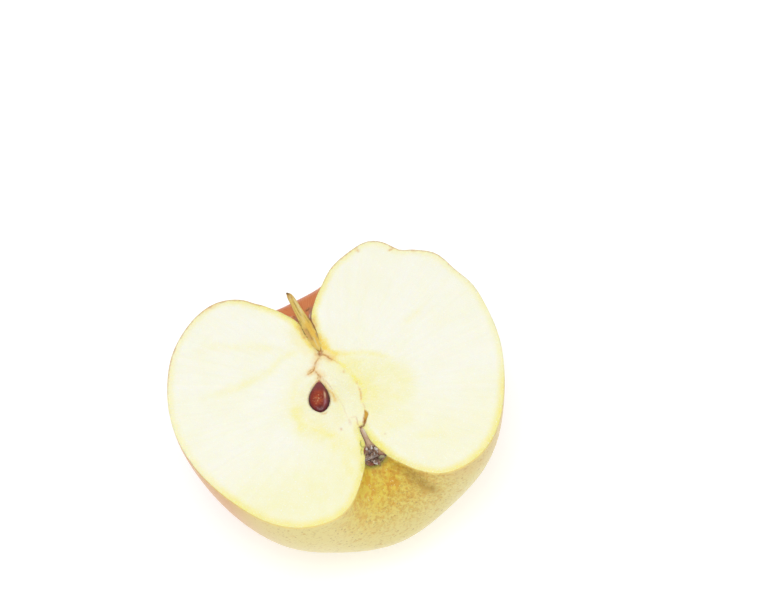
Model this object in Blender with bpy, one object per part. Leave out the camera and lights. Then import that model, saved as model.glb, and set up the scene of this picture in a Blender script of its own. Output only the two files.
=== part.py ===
"""Half of an apple, cut through its core and lying on its round back, with the cut face up and level.

Lengths are in metres. While the pieces are shaped, X runs to the right across the cut face, Y runs up the
apple's axis to the stem and Z points out of the cut face, which is the plane Z = 0. At the end everything
moves together, so that the origin is on the resting surface, under the middle of the piece.
"""

import math

import bmesh
import bpy
from mathutils import Vector

MM = 0.001

# One side of the cut face in mm, as distance from the axis and height along it: from the foot of the stem
# over the shoulder, down the side and round into the eye, as far as the end of its tube
OUTLINE = [
    (0.0, 10.9), (0.5, 12.1), (0.9, 14.2), (1.35, 16.6), (1.6, 19.2), (1.65, 21.2), (2.45, 23.2), (3.7, 25.1),
    (6.4, 28.4), (12.4, 33.8), (20.2, 35.9), (27.6, 33.4), (35.3, 26.2), (40.5, 15.4), (42.4, 4.6),
    (41.2, -6.0), (37.2, -16.6), (31.2, -26.3), (24.0, -31.8), (15.4, -33.3), (9.4, -30.6), (4.2, -24.6),
    (2.4, -21.4), (1.15, -18.3), (0.72, -16.8), (0.55, -13.6), (0.0, -12.3),
]
OUTLINE_STEPS = 3
TURN_STEPS = 44

# The middle of one lobe of the outline. Relief stands in or out from it, at an angle that is zero straight
# outwards and grows towards the stem
LOBE_MIDDLE = (21.0, 1.6)
RIGHT_EDGE = 0.0
LEFT_EDGE = 180.0

# Relief of the skin: angle round the lobe and its spread, turn round the axis and its spread, height in mm
FULL_SIDE = (10.0, 60.0, RIGHT_EDGE, 70.0, 0.35)
FULL_SHOULDER = (55.0, 6.5, RIGHT_EDGE, 45.0, 1.75)
FULL_CHEEK = (32.0, 12.0, RIGHT_EDGE, 45.0, 1.1)
TORN_LIP = (84.5, 5.8, RIGHT_EDGE, 7.0, 1.35)
DENT_BY_LIP = (73.5, 3.2, RIGHT_EDGE, 9.0, -1.1)
FULL_LEFT_TOP = (101.0, 7.5, LEFT_EDGE, 30.0, 0.95)
NICK = (109.5, 2.2, LEFT_EDGE, 5.0, -0.9)
HIGH_BACK = (108.0, 12.0, 78.0, 30.0, 3.6)
LOW_BACK = (-75.0, 42.0, 89.0, 38.0, 2.15)
LEFT_FLANK = (-5.0, 22.0, 161.0, 9.0, -0.75)
LEFT_HAUNCH = (-60.0, 18.0, 146.0, 14.0, 0.5)
RELIEF = [
    FULL_SIDE, FULL_SHOULDER, FULL_CHEEK, TORN_LIP, DENT_BY_LIP, FULL_LEFT_TOP, NICK, HIGH_BACK, LOW_BACK,
    LEFT_FLANK, LEFT_HAUNCH,
]

# Five ribs run round the apple, strongest about the eye
RIBS = 5
RIB_HEIGHT = 0.35
RIB_AT_STEM = 0.25

# The stem's bore lies a little to the left of the axis, and the eye's tube a little to the right
BORE_SHIFT = -0.5
BORE_WIDTH = 4.0
TUBE_SHIFT = 0.2
TUBE_WIDTH = 1.2

# The flat spot that the round back rests on
FLAT_DEPTH = 0.9

# Seed, in mm and degrees: its foot, how far it leans to the right, its size and how it lies in the cut face
SEED_FOOT = (-6.95, -4.45)
SEED_LEAN = 19.2
SEED_LENGTH = 9.2
SEED_WIDTH = 5.25
SEED_THICKNESS = 2.5
SEED_RISE = -0.3
SEED_BULGE_LEFT = 0.28
SEED_FULLNESS = 3.04
SEED_FOOT_POWER = 0.65
SEED_TIP_POWER = 1.02
POCKET_GAP = 0.4
POCKET_DEPTH = 2.1
SEED_RINGS = 12
SEED_SIDES = 16

# Cracks in the core, as points along the cut face in mm
CRACK_BY_SEED = [(-0.8, 10.4), (-2.2, 9.5), (-3.0, 8.6), (-3.9, 7.5), (-5.4, 6.9)]
CRACK_AT_RIGHT = [(0.5, 9.6), (0.9, 8.4), (1.6, 7.0), (2.3, 5.8), (3.1, 4.5)]
CORE_SLIT = [(3.2, -8.6), (2.9, -10.2), (2.0, -11.3), (1.5, -12.0)]
CRACK_WIDTH = 0.45
CRACK_DEPTH = 0.8
SLIT_WIDTH = 0.9
SLIT_DEPTH = 1.8
CRACK_END_SHARE = 0.25
CRACK_FOOT_SHARE = 0.3
CUTTER_ABOVE = 0.5

# The stem lies in its bore, split lengthwise: middle, half width, and how deep it is, along the axis
STEM_STATIONS = [
    (12.4, -0.50, 0.24, 0.3), (13.6, -0.50, 0.46, 0.5), (15.2, -0.50, 0.75, 0.8), (16.8, -0.54, 1.05, 1.1),
    (18.6, -0.60, 1.22, 1.3), (21.0, -0.68, 1.24, 1.3), (24.0, -0.82, 1.08, 1.25), (27.5, -1.02, 0.95, 1.15),
    (30.0, -1.15, 0.75, 0.9), (31.1, -1.25, 0.45, 0.6),
]
STEM_CROWN = 0.35
STEM_SIDES = 14

# The dried remains of the flower in the eye: distance from the axis and height along it
EYE_OUTLINE = [
    (0.0, -13.0), (0.34, -14.0), (0.48, -16.8), (0.85, -18.4), (1.9, -21.0), (2.45, -22.4), (2.1, -23.3),
    (1.3, -24.3), (0.0, -24.9),
]
EYE_STEPS = 2
EYE_TURNS = 14
EYE_SUNK = 0.15
SEPAL_SPLIT = 0.18
SEPAL_ROOT = -20.0
SEPAL_RUN = 3.0

# Colours as sRGB, with roughness
FLESH_LOOK = ((0.973, 0.961, 0.831), 0.45)
STEM_LOOK = ((0.839, 0.698, 0.337), 0.7)
SEED_LOOK = ((0.522, 0.220, 0.165), 0.25)
EYE_LOOK = ((0.576, 0.463, 0.337), 0.85)


def clear_scene():
    for thing in list(bpy.data.objects):
        bpy.data.objects.remove(thing, do_unlink=True)


def linear(value):
    """One sRGB channel as linear light."""
    return value / 12.92 if value <= 0.04045 else ((value + 0.055) / 1.055) ** 2.4


def plain_material(name, look):
    colour, roughness = look
    material = bpy.data.materials.new(name)
    material.use_nodes = True
    shader = material.node_tree.nodes["Principled BSDF"]
    shader.inputs["Base Color"].default_value = [linear(c) for c in colour] + [1.0]
    shader.inputs["Roughness"].default_value = roughness
    shader.inputs["Metallic"].default_value = 0.0
    return material


def add_object(name, bm, material=None):
    bmesh.ops.recalc_face_normals(bm, faces=bm.faces)
    mesh = bpy.data.meshes.new(name)
    bm.to_mesh(mesh)
    bm.free()
    thing = bpy.data.objects.new(name, mesh)
    bpy.context.scene.collection.objects.link(thing)
    if material:
        mesh.materials.append(material)
        mesh.shade_smooth()
        mesh.set_sharp_from_angle(angle=math.radians(40))
    return thing


def smooth_path(points, steps):
    """Points along a smooth curve through the given ones, with steps between each pair."""
    ends = [points[0]] + list(points) + [points[-1]]
    path = []
    for before, start, end, after in zip(ends, ends[1:], ends[2:], ends[3:]):
        for step in range(steps):
            t = step / steps
            path.append(tuple(
                b + 0.5 * t * (c - a + t * (2 * a - 5 * b + 4 * c - d + t * (3 * (b - c) + d - a)))
                for a, b, c, d in zip(before, start, end, after)
            ))
    path.append(tuple(points[-1]))
    return path


def bell(distance, spread):
    return math.exp(-0.5 * (distance / spread) ** 2)


def skin_point(out, up, turn):
    """A point of the skin, in mm: the outline's point turned round the axis, with ribs and relief."""
    wide = out - LOBE_MIDDLE[0]
    high = up - LOBE_MIDDLE[1]
    reach = math.hypot(wide, high)
    angle = math.degrees(math.atan2(high, wide))
    rise = sum(
        height * bell(angle - at, spread) * bell(turn - side, turn_spread)
        for at, spread, side, turn_spread, height in RELIEF
    )
    low_share = 0.5 - 0.5 * math.sin(math.radians(angle))
    rib_share = RIB_AT_STEM + (1 - RIB_AT_STEM) * low_share
    rise += RIB_HEIGHT * rib_share * math.sin(math.radians(RIBS * turn))
    rise *= min(out / LOBE_MIDDLE[0], 1.0) ** 1.5
    out += rise * wide / reach
    up += rise * high / reach
    shift = BORE_SHIFT * bell(out, BORE_WIDTH) if up > 0 else TUBE_SHIFT * bell(out, TUBE_WIDTH)
    around = math.radians(turn)
    return Vector((out * math.cos(around) + shift, up, -out * math.sin(around)))


def half_turned(path, turns, place):
    """A closed half body: the path turned by half a circle below the cut face, which is filled flat."""
    bm = bmesh.new()
    first = bm.verts.new(place(*path[0], 90.0) * MM)
    last = bm.verts.new(place(*path[-1], 90.0) * MM)
    rows = []
    for out, up in path[1:-1]:
        angles = [180.0 * column / turns for column in range(turns + 1)]
        rows.append([bm.verts.new(place(out, up, angle) * MM) for angle in angles])
    for row, after in zip(rows, rows[1:]):
        for column in range(turns):
            bm.faces.new([row[column], row[column + 1], after[column + 1], after[column]])
    for column in range(turns):
        bm.faces.new([first, rows[0][column + 1], rows[0][column]])
        bm.faces.new([last, rows[-1][column], rows[-1][column + 1]])
    for end in (0, turns):
        for row in rows:
            row[end].co.z = 0.0
    for pole in (first, last):
        pole.co.z = 0.0
    rim = [first] + [row[0] for row in rows] + [last] + [row[turns] for row in reversed(rows)]
    bm.faces.new(rim)
    return bm


def cut_flat_spot(bm):
    """Cuts the lowest part of the round back off level."""
    lowest = min(vertex.co.z for vertex in bm.verts)
    level = Vector((0.0, 0.0, lowest + FLAT_DEPTH * MM))
    everything = list(bm.verts) + list(bm.edges) + list(bm.faces)
    bmesh.ops.bisect_plane(bm, geom=everything, plane_co=level, plane_no=(0, 0, -1), clear_outer=True)
    edge = [e for e in bm.edges if e.is_boundary]
    bmesh.ops.edgeloop_fill(bm, edges=edge)


def seed_body(gap, low, high):
    """A teardrop with its foot, lean and size as named, grown by gap, between two heights."""
    bm = bmesh.new()
    lean = math.radians(SEED_LEAN)
    along = Vector((math.sin(lean), math.cos(lean), 0.0))
    across = Vector((math.cos(lean), -math.sin(lean), 0.0))
    foot = Vector((*SEED_FOOT, 0.0))
    middle = Vector((0.0, 0.0, (low + high) / 2))
    up = Vector((0.0, 0.0, (high - low) / 2))
    rings = []
    for ring in range(1, SEED_RINGS):
        share = 0.5 - 0.5 * math.cos(math.pi * ring / SEED_RINGS)
        plump = SEED_FULLNESS * share ** SEED_FOOT_POWER * (1 - share) ** SEED_TIP_POWER
        wide = (SEED_WIDTH / 2 * plump + gap) * across
        centre = foot + middle + along * (share * (SEED_LENGTH + 2 * gap) - gap)
        centre -= across * SEED_BULGE_LEFT * plump
        angles = [2 * math.pi * side / SEED_SIDES for side in range(SEED_SIDES)]
        points = [centre + math.cos(a) * wide + math.sin(a) * up * plump for a in angles]
        rings.append([bm.verts.new(point * MM) for point in points])
    for ring, after in zip(rings, rings[1:]):
        for side in range(SEED_SIDES):
            nxt = (side + 1) % SEED_SIDES
            bm.faces.new([ring[side], ring[nxt], after[nxt], after[side]])
    foot_end = bm.verts.new((foot + middle - along * gap) * MM)
    tip_end = bm.verts.new((foot + middle + along * (SEED_LENGTH + gap)) * MM)
    for end, ring in ((foot_end, rings[0]), (tip_end, rings[-1])):
        for side in range(SEED_SIDES):
            bm.faces.new([end, ring[side], ring[(side + 1) % SEED_SIDES]])
    return bm


def crack_body(points, width, depth):
    """A wedge that follows the points along the cut face, widest in the middle and sharp below."""
    bm = bmesh.new()
    path = [Vector((*point, 0.0)) for point in smooth_path(points, 2)]
    over = Vector((0.0, 0.0, CUTTER_ABOVE))
    stations = []
    for index, point in enumerate(path):
        ahead = path[min(index + 1, len(path) - 1)] - path[max(index - 1, 0)]
        side = Vector((ahead.y, -ahead.x, 0.0)).normalized()
        middle_share = math.sin(math.pi * (index + 0.5) / len(path))
        open_share = CRACK_END_SHARE + (1 - CRACK_END_SHARE) * middle_share
        half = side * width / 2 * open_share
        foot = half * CRACK_FOOT_SHARE
        low = Vector((0.0, 0.0, -depth * open_share))
        corners = [point + half + over, point - half + over, point - foot + low, point + foot + low]
        stations.append([bm.verts.new(corner * MM) for corner in corners])
    for station, after in zip(stations, stations[1:]):
        for corner in range(4):
            nxt = (corner + 1) % 4
            bm.faces.new([station[corner], station[nxt], after[nxt], after[corner]])
    bm.faces.new(stations[0])
    bm.faces.new(stations[-1])
    return bm


def cut_with(body, name, bm):
    """Takes the shape in bm out of the body and leaves it behind as a hidden guide."""
    cutter = add_object(name, bm)
    cutter.display_type = "WIRE"
    cutter.hide_render = True
    cut = body.modifiers.new(name, "BOOLEAN")
    cut.operation = "DIFFERENCE"
    cut.solver = "EXACT"
    cut.object = cutter
    return cutter


def make_flesh():
    bm = half_turned(smooth_path(OUTLINE, OUTLINE_STEPS), TURN_STEPS, skin_point)
    cut_flat_spot(bm)
    flesh = add_object("apple_flesh", bm, plain_material("apple_flesh", FLESH_LOOK))
    cutters = [
        cut_with(flesh, "seed_pocket_cutter", seed_body(POCKET_GAP, -POCKET_DEPTH, POCKET_DEPTH)),
        cut_with(flesh, "crack_by_seed_cutter", crack_body(CRACK_BY_SEED, CRACK_WIDTH, CRACK_DEPTH)),
        cut_with(flesh, "crack_at_right_cutter", crack_body(CRACK_AT_RIGHT, CRACK_WIDTH, CRACK_DEPTH)),
        cut_with(flesh, "core_slit_cutter", crack_body(CORE_SLIT, SLIT_WIDTH, SLIT_DEPTH)),
    ]
    return flesh, cutters


def make_stem():
    """A split stem: a low crown above the cut face and a round belly below it."""
    bm = bmesh.new()
    rings = []
    for up, middle, half_width, depth in smooth_path(STEM_STATIONS, 2):
        ring = []
        for side in range(STEM_SIDES):
            angle = 2 * math.pi * side / STEM_SIDES
            height = math.sin(angle)
            height *= STEM_CROWN if height > 0 else depth
            point = Vector((middle + half_width * math.cos(angle), up, height))
            ring.append(bm.verts.new(point * MM))
        rings.append(ring)
    for ring, after in zip(rings, rings[1:]):
        for side in range(STEM_SIDES):
            nxt = (side + 1) % STEM_SIDES
            bm.faces.new([ring[side], ring[nxt], after[nxt], after[side]])
    bm.faces.new(rings[0])
    bm.faces.new(rings[-1])
    return add_object("stem", bm, plain_material("stem", STEM_LOOK))


def make_seed():
    low = SEED_RISE - SEED_THICKNESS / 2
    return add_object("seed", seed_body(0.0, low, low + SEED_THICKNESS), plain_material("seed", SEED_LOOK))


def eye_point(out, up, turn):
    """A point of the dried flower, which is split into sepals towards its outer end."""
    split = SEPAL_SPLIT * min(max((SEPAL_ROOT - up) / SEPAL_RUN, 0.0), 1.0)
    out *= 1 - split * (0.5 + 0.5 * math.cos(math.radians(RIBS * turn)))
    around = math.radians(turn)
    shift = TUBE_SHIFT * bell(out, TUBE_WIDTH)
    return Vector((out * math.cos(around) + shift, up, -out * math.sin(around)))


def make_eye():
    bm = half_turned(smooth_path(EYE_OUTLINE, EYE_STEPS), EYE_TURNS, eye_point)
    bmesh.ops.translate(bm, verts=bm.verts, vec=(0.0, 0.0, -EYE_SUNK * MM))
    return add_object("calyx", bm, plain_material("calyx", EYE_LOOK))


def stand_on_origin(pieces, followers):
    """Moves every mesh so that the pieces' box has the origin at the middle of its base."""
    bpy.context.view_layer.update()
    graph = bpy.context.evaluated_depsgraph_get()
    corners = [vertex.co for piece in pieces for vertex in piece.evaluated_get(graph).data.vertices]
    lows = [min(corner[axis] for corner in corners) for axis in range(3)]
    highs = [max(corner[axis] for corner in corners) for axis in range(3)]
    move = Vector((-(lows[0] + highs[0]) / 2, -(lows[1] + highs[1]) / 2, -lows[2]))
    for thing in pieces + followers:
        for vertex in thing.data.vertices:
            vertex.co += move


def main():
    clear_scene()
    flesh, cutters = make_flesh()
    stand_on_origin([flesh, make_stem(), make_seed(), make_eye()], cutters)


main()
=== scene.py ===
"""Half of a ripe dessert apple: its skin, cut flesh, seed, split stem and dried flower, and a pale studio.

Sizes in the named values are in millimetres unless they say otherwise. A piece is shaped in the apple's own
axes: X to the right across the cut face, Y up the core to the stem, Z out of the cut face, whose plane is
Z = 0. It is then moved onto the frame.
"""

import math

import bmesh
import bpy
import numpy as np
from bpy.props import FloatProperty, FloatVectorProperty, IntProperty, PointerProperty
from mathutils import Matrix, Vector, noise


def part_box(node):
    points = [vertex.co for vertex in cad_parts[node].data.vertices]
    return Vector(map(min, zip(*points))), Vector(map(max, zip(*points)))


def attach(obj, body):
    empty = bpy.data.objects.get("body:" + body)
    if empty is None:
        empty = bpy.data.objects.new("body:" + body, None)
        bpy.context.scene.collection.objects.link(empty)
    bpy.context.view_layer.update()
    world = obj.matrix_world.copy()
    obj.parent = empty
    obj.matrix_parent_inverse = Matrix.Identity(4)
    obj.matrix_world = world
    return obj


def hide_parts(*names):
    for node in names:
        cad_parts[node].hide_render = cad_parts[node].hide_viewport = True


bl_info = {
    "name": "Apple Half",
    "version": (1, 0, 0),
    "blender": (4, 5, 0),
    "location": "3D View > Sidebar > Apple Half",
    "description": "Builds half of an apple with its skin, flesh, seed, stem and dried flower",
    "category": "Add Mesh",
}

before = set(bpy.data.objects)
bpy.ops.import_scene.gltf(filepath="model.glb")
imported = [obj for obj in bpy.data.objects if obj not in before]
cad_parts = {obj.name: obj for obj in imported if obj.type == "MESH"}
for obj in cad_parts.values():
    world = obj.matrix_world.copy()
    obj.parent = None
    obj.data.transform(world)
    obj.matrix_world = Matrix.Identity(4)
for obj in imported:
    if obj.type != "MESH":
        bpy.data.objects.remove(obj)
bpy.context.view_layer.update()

MM = 0.001

# One side of the cut face, as distance from the core and height along it: from the foot of the stem over the
# shoulder, down the side and round into the eye, as far as the end of its tube
OUTLINE = [
    (0.0, 10.9), (0.5, 12.1), (0.9, 14.2), (1.35, 16.6), (1.6, 19.2), (1.65, 21.2), (2.45, 23.2), (3.7, 25.1),
    (6.4, 28.4), (12.4, 33.8), (20.2, 35.9), (27.6, 33.4), (35.3, 26.2), (40.5, 15.4), (42.4, 4.6),
    (41.2, -6.0), (37.2, -16.6), (31.2, -26.3), (24.0, -31.8), (15.4, -33.3), (9.4, -30.6), (4.2, -24.6),
    (2.4, -21.4), (1.15, -18.3), (0.72, -16.8), (0.55, -13.6), (0.0, -12.3),
]
CAD_OUTLINE_STEPS = 3

# Relief stands out from the middle of a lobe, at an angle that is zero straight outwards and grows towards
# the stem: angle and its spread, turn round the core and its spread, height
LOBE_MIDDLE = (21.0, 1.6)
RIGHT_EDGE = 0.0
LEFT_EDGE = 180.0
RELIEF = {
    "full_side": (10.0, 60.0, RIGHT_EDGE, 70.0, 0.35),
    "full_shoulder": (55.0, 6.5, RIGHT_EDGE, 45.0, 1.75),
    "full_cheek": (32.0, 12.0, RIGHT_EDGE, 45.0, 1.1),
    "torn_lip": (84.5, 5.8, RIGHT_EDGE, 7.0, 1.35),
    "dent_by_lip": (73.5, 3.2, RIGHT_EDGE, 9.0, -1.1),
    "full_left_top": (101.0, 7.5, LEFT_EDGE, 30.0, 0.95),
    "nick": (109.5, 2.2, LEFT_EDGE, 5.0, -0.9),
    "high_back": (108.0, 12.0, 78.0, 30.0, 3.6),
    "low_back": (-75.0, 42.0, 89.0, 38.0, 2.15),
    "left_flank": (-5.0, 22.0, 161.0, 9.0, -0.75),
    "left_haunch": (-60.0, 18.0, 146.0, 14.0, 0.5),
}
RIBS = 5
RIB_AT_STEM = 0.25
BORE_SHIFT = -0.5
BORE_WIDTH = 4.0
TUBE_SHIFT = 0.2
TUBE_WIDTH = 1.2

# The seed and its pocket
SEED_FOOT = (-6.95, -4.45)
SEED_LEAN = math.radians(19.2)
SEED_LENGTH = 9.2
SEED_WIDTH = 5.25
SEED_THICKNESS = 2.5
SEED_RISE = -0.3
SEED_BULGE_LEFT = 0.28
SEED_FULLNESS = 3.04
SEED_FOOT_POWER = 0.65
SEED_TIP_POWER = 1.02

# Where the core is drawn finely on the cut face: left, right, low, high
CORE_AREA = (-18.5, 19.5, -25.0, 19.0)
SKIN_SLOT = 0
FLESH_SLOT = 1
FRAY_SEED = 1

# How deep the cut face is broken, and how far it rolls between the cracks
CRACK_DEPTH = 0.25
HOLE_DEPTH = 0.5
FINE_LINE_DEPTH = 0.1
POCKET_LIP = 0.3
POCKET_DEPTH = 1.7
FLESH_ROLL = 0.05

# Brown knot where the stem meets the core, and the circle of green skin round the dried flower: how far from
# the core it is and how far along it
KNOT = (-0.45, 11.1)
EYE_RING = (2.9, -22.6)

# Marks on the cut face: each is a run of points, half its width and its strength
CRACKS = [
    ([(-0.7, 10.8), (-1.8, 10.0), (-2.7, 9.2), (-3.5, 8.3)], 0.2, 0.6),
    ([(-3.3, 8.7), (-3.8, 7.9), (-4.4, 7.4), (-5.2, 7.1), (-6.1, 7.0)], 0.15, 0.9),
    ([(-3.9, 8.0), (-4.7, 7.9), (-5.4, 7.5)], 0.12, 0.6),
    ([(-3.9, 7.4), (-3.6, 6.4), (-3.3, 5.6), (-3.2, 4.9), (-3.5, 4.1)], 0.19, 0.7),
    ([(-3.1, 5.0), (-3.7, 4.4), (-4.0, 4.0)], 0.2, 0.6),
    ([(-3.6, 5.3), (-4.1, 4.6)], 0.16, 0.6),
    ([(-2.8, 5.0), (-2.5, 4.4)], 0.13, 0.5),
    ([(-0.2, 10.8), (0.4, 9.7), (1.0, 8.9), (1.7, 7.9)], 0.17, 0.85),
]
# The dark run from the core's open cell to the eye's tube
DARK_CRACKS = [
    ([(2.2, -11.2), (1.5, -11.9), (0.9, -12.4), (0.3, -12.5), (-0.3, -12.5)], 0.22, 1.0),
]
FINE_LINES = [
    ([(-2.6, 3.8), (-2.4, 2.4), (-2.1, 1.0), (-1.9, 0.0)], 0.12, 0.6),
    ([(-1.9, -0.4), (-1.6, -2.6), (-1.4, -5.0), (-1.6, -7.6), (-1.8, -9.2)], 0.12, 0.25),
    ([(-2.9, 4.4), (-2.75, 3.6)], 0.16, 0.6),
    ([(-1.6, -9.2), (-1.6, -10.2), (-1.9, -10.9)], 0.26, 0.45),
    ([(-0.9, -9.1), (0.0, -9.3), (0.5, -9.3)], 0.18, 0.35),
    ([(0.4, -9.4), (0.2, -10.4), (-0.1, -11.4), (-0.1, -12.2)], 0.14, 0.6),
    ([(-4.6, -11.0), (-4.1, -11.3)], 0.26, 0.7),
    ([(3.3, -6.6), (3.4, -7.6), (3.2, -8.4)], 0.16, 0.5),
    ([(4.9, -16.9), (5.05, -17.05)], 0.16, 0.9),
]
TAN_LINES = [
    ([(-3.35, 3.6), (-3.1, 2.0), (-2.9, 0.5), (-2.6, -1.2), (-2.4, -3.0)], 0.2, 0.5),
    ([(-7.4, -4.85), (-6.4, -5.1), (-5.6, -4.9)], 0.2, 0.75),
    ([(1.2, 8.4), (1.9, 7.2), (2.6, 6.0)], 0.13, 0.5),
    ([(4.3, -2.0), (4.1, -3.4), (3.8, -4.6), (3.5, -5.6)], 0.2, 0.8),
    ([(4.5, 0.0), (4.4, -0.9)], 0.2, 0.5),
    ([(2.4, 4.0), (2.8, 3.7)], 0.3, 0.55),
    ([(-2.0, 16.0), (-1.6, 14.6), (-1.4, 13.0), (-1.5, 11.6), (-1.9, 10.6)], 0.34, 0.55),
    ([(-2.35, 16.6), (-2.6, 19.0), (-2.5, 21.4)], 0.3, 0.9),
    ([(1.3, 18.4), (1.5, 20.4), (1.8, 22.0)], 0.34, 0.85),
    ([(1.95, -20.2), (2.2, -21.2), (2.6, -22.0)], 0.3, 0.9),
    ([(19.4, 36.2), (20.0, 35.6), (20.4, 34.9)], 0.24, 0.6),
    ([(29.3, 32.8), (28.2, 32.25), (27.1, 31.95)], 0.24, 0.9),
    ([(33.0, 29.4), (33.3, 28.9)], 0.3, 0.5),
    ([(-16.2, 36.3), (-18.0, 36.4), (-20.0, 36.1), (-22.4, 35.7), (-24.6, 35.0)], 0.45, 0.5),
    ([(-10.4, 32.6), (-9.4, 31.9), (-8.4, 31.0), (-7.9, 30.7)], 0.3, 1.0),
]
YELLOW_LINES = [
    ([
        (0.8, 9.6), (1.6, 7.9), (2.6, 6.3), (3.6, 4.6), (4.4, 2.8), (4.8, 0.6), (4.9, -1.6), (4.9, -3.4),
    ], 0.6, 1.0),
    ([(5.0, -2.6), (4.9, -4.2), (4.3, -5.4), (3.6, -6.6)], 0.75, 0.9),
    ([(2.4, 9.0), (4.4, 5.6), (5.9, 2.2), (6.3, -1.4), (5.6, -5.0), (4.6, -8.0)], 1.7, 0.5),
    ([(-0.9, -14.2), (-1.2, -16.2), (-1.8, -18.2), (-2.6, -20.2)], 0.75, 1.0),
    ([(-9.0, -13.4), (-5.0, -15.4), (-3.2, -18.4), (-4.0, -22.0)], 1.8, 0.5),
    ([(3.0, -15.6), (8.0, -15.4), (14.0, -14.4)], 1.6, 0.35),
    ([(1.2, -13.8), (1.35, -16.2), (1.9, -18.2), (2.9, -20.2), (4.0, -22.0)], 0.85, 1.0),
    ([
        (-12.2, 0.6), (-12.5, -1.5), (-12.9, -4.0), (-12.0, -7.4), (-9.6, -9.8), (-7.0, -11.6), (-4.6, -12.8),
    ], 1.1, 0.7),
    ([(-13.0, -4.5), (-12.3, -7.6), (-10.4, -10.0), (-8.0, -11.4)], 1.5, 0.6),
    ([(-7.4, 7.0), (-10.4, 4.6), (-12.0, 1.0)], 0.8, 0.25),
    ([(2.2, 10.4), (3.4, 9.2), (5.0, 8.3), (7.4, 7.3), (10.4, 6.0), (13.0, 4.2), (15.0, 2.2)], 0.6, 0.55),
    ([
        (-4.8, 14.6), (-7.1, 14.3), (-10.3, 13.9), (-12.9, 12.5), (-16.0, 11.3), (-19.3, 11.1),
        (-26.0, 11.2), (-33.0, 11.6),
    ], 0.85, 0.35),
    ([(-9.6, 16.8), (-15.0, 19.8), (-22.0, 23.4), (-27.0, 25.6)], 0.9, 0.22),
    ([(-24.0, 29.0), (-26.5, 25.6), (-28.5, 23.8)], 0.9, 0.16),
    ([(-5.4, -13.0), (-6.1, -16.0), (-6.6, -20.0), (-7.2, -25.0)], 0.9, 0.4),
    ([(-1.7, 2.6), (-1.4, -1.0), (-1.7, -5.0), (-2.2, -8.4)], 0.6, 0.35),
    ([(22.0, 9.8), (27.5, 12.2)], 0.9, 0.25),
    ([(11.5, -20.6), (17.5, -23.2)], 0.9, 0.25),
    ([(-9.4, 33.6), (-7.6, 31.2), (-5.8, 28.6), (-4.2, 25.6), (-3.4, 22.6), (-2.9, 19.0)], 0.7, 0.75),
    ([(8.6, 31.6), (5.6, 28.4), (3.5, 25.4), (2.4, 22.4), (1.8, 19.0)], 0.5, 0.7),
]
STAINS = [
    ([(1.0, 17.4), (0.95, 15.8), (0.85, 14.2), (0.85, 12.6), (0.9, 11.4)], 0.5, 1.0),
    ([(0.5, 13.8), (0.5, 12.4), (0.4, 11.4)], 0.45, 1.0),
    ([(-1.75, 16.4), (-1.45, 15.0), (-1.15, 13.6)], 0.22, 0.6),
    ([(-3.2, 3.0), (-2.85, 0.5), (-2.5, -2.0), (-2.4, -3.4)], 0.4, 0.65),
]
WIDE_STAINS = [
    ([(1.6, 15.4), (1.6, 13.6), (1.5, 11.8), (1.9, 10.4), (2.9, 9.4), (4.6, 8.6)], 0.75, 1.0),
    ([(-2.9, 23.0), (-2.9, 20.6), (-2.8, 18.0), (-2.2, 15.0), (-1.7, 12.6)], 0.6, 0.9),
    ([(-4.6, 22.0), (-4.4, 18.0), (-3.6, 14.6), (-2.6, 11.4)], 1.3, 0.35),
]
GREEN_MARKS = [
    ([(-0.9, -15.6), (-1.25, -16.8), (-1.6, -18.0), (-2.2, -19.6)], 0.4, 1.0),
    ([(-2.9, -21.6), (-3.6, -23.0), (-4.2, -24.2)], 0.4, 0.7),
    ([(1.1, -15.0), (1.3, -17.0), (1.8, -18.6)], 0.3, 0.45),
    ([(2.9, -22.4), (3.8, -23.6), (5.4, -25.4)], 0.35, 0.5),
]
HAIRS = [
    ([(-1.3, -16.2), (-1.7, -17.0), (-1.7, -17.8), (-1.2, -18.3)], 0.1, 0.9),
    ([(-1.9, -18.2), (-2.5, -19.2), (-2.6, -20.0)], 0.09, 0.6),
]
INNER_ZONE = [
    (-12.6, 8.5), (-16.4, 3.0), (-18.0, -3.0), (-17.6, -8.0), (-14.5, -12.4), (-9.0, -14.2), (-3.0, -14.2),
    (1.5, -13.4), (6.0, -13.6), (12.0, -12.0), (17.2, -9.0), (19.2, -4.5), (18.0, -0.8), (14.2, 3.4),
    (10.0, 6.2), (5.0, 8.0), (1.5, 10.0), (-3.0, 12.0), (-8.0, 11.6),
]
SEED_CELL = [
    (-4.0, 5.2), (-7.4, 4.6), (-10.4, 2.0), (-11.6, -2.0), (-10.8, -6.6), (-8.0, -9.4), (-4.6, -10.6),
    (-2.4, -9.0), (-2.0, -4.0), (-2.2, 1.0),
]
# The open end of the core's right cell, a golden leaf-shaped hole
GOLDEN_HOLE = [
    (3.0, -8.4), (3.35, -8.9), (3.58, -9.5), (3.35, -10.1), (2.85, -10.7), (2.3, -11.3), (1.8, -11.75),
    (1.45, -11.6), (1.8, -10.9), (2.25, -10.1), (2.7, -9.2),
]

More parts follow.
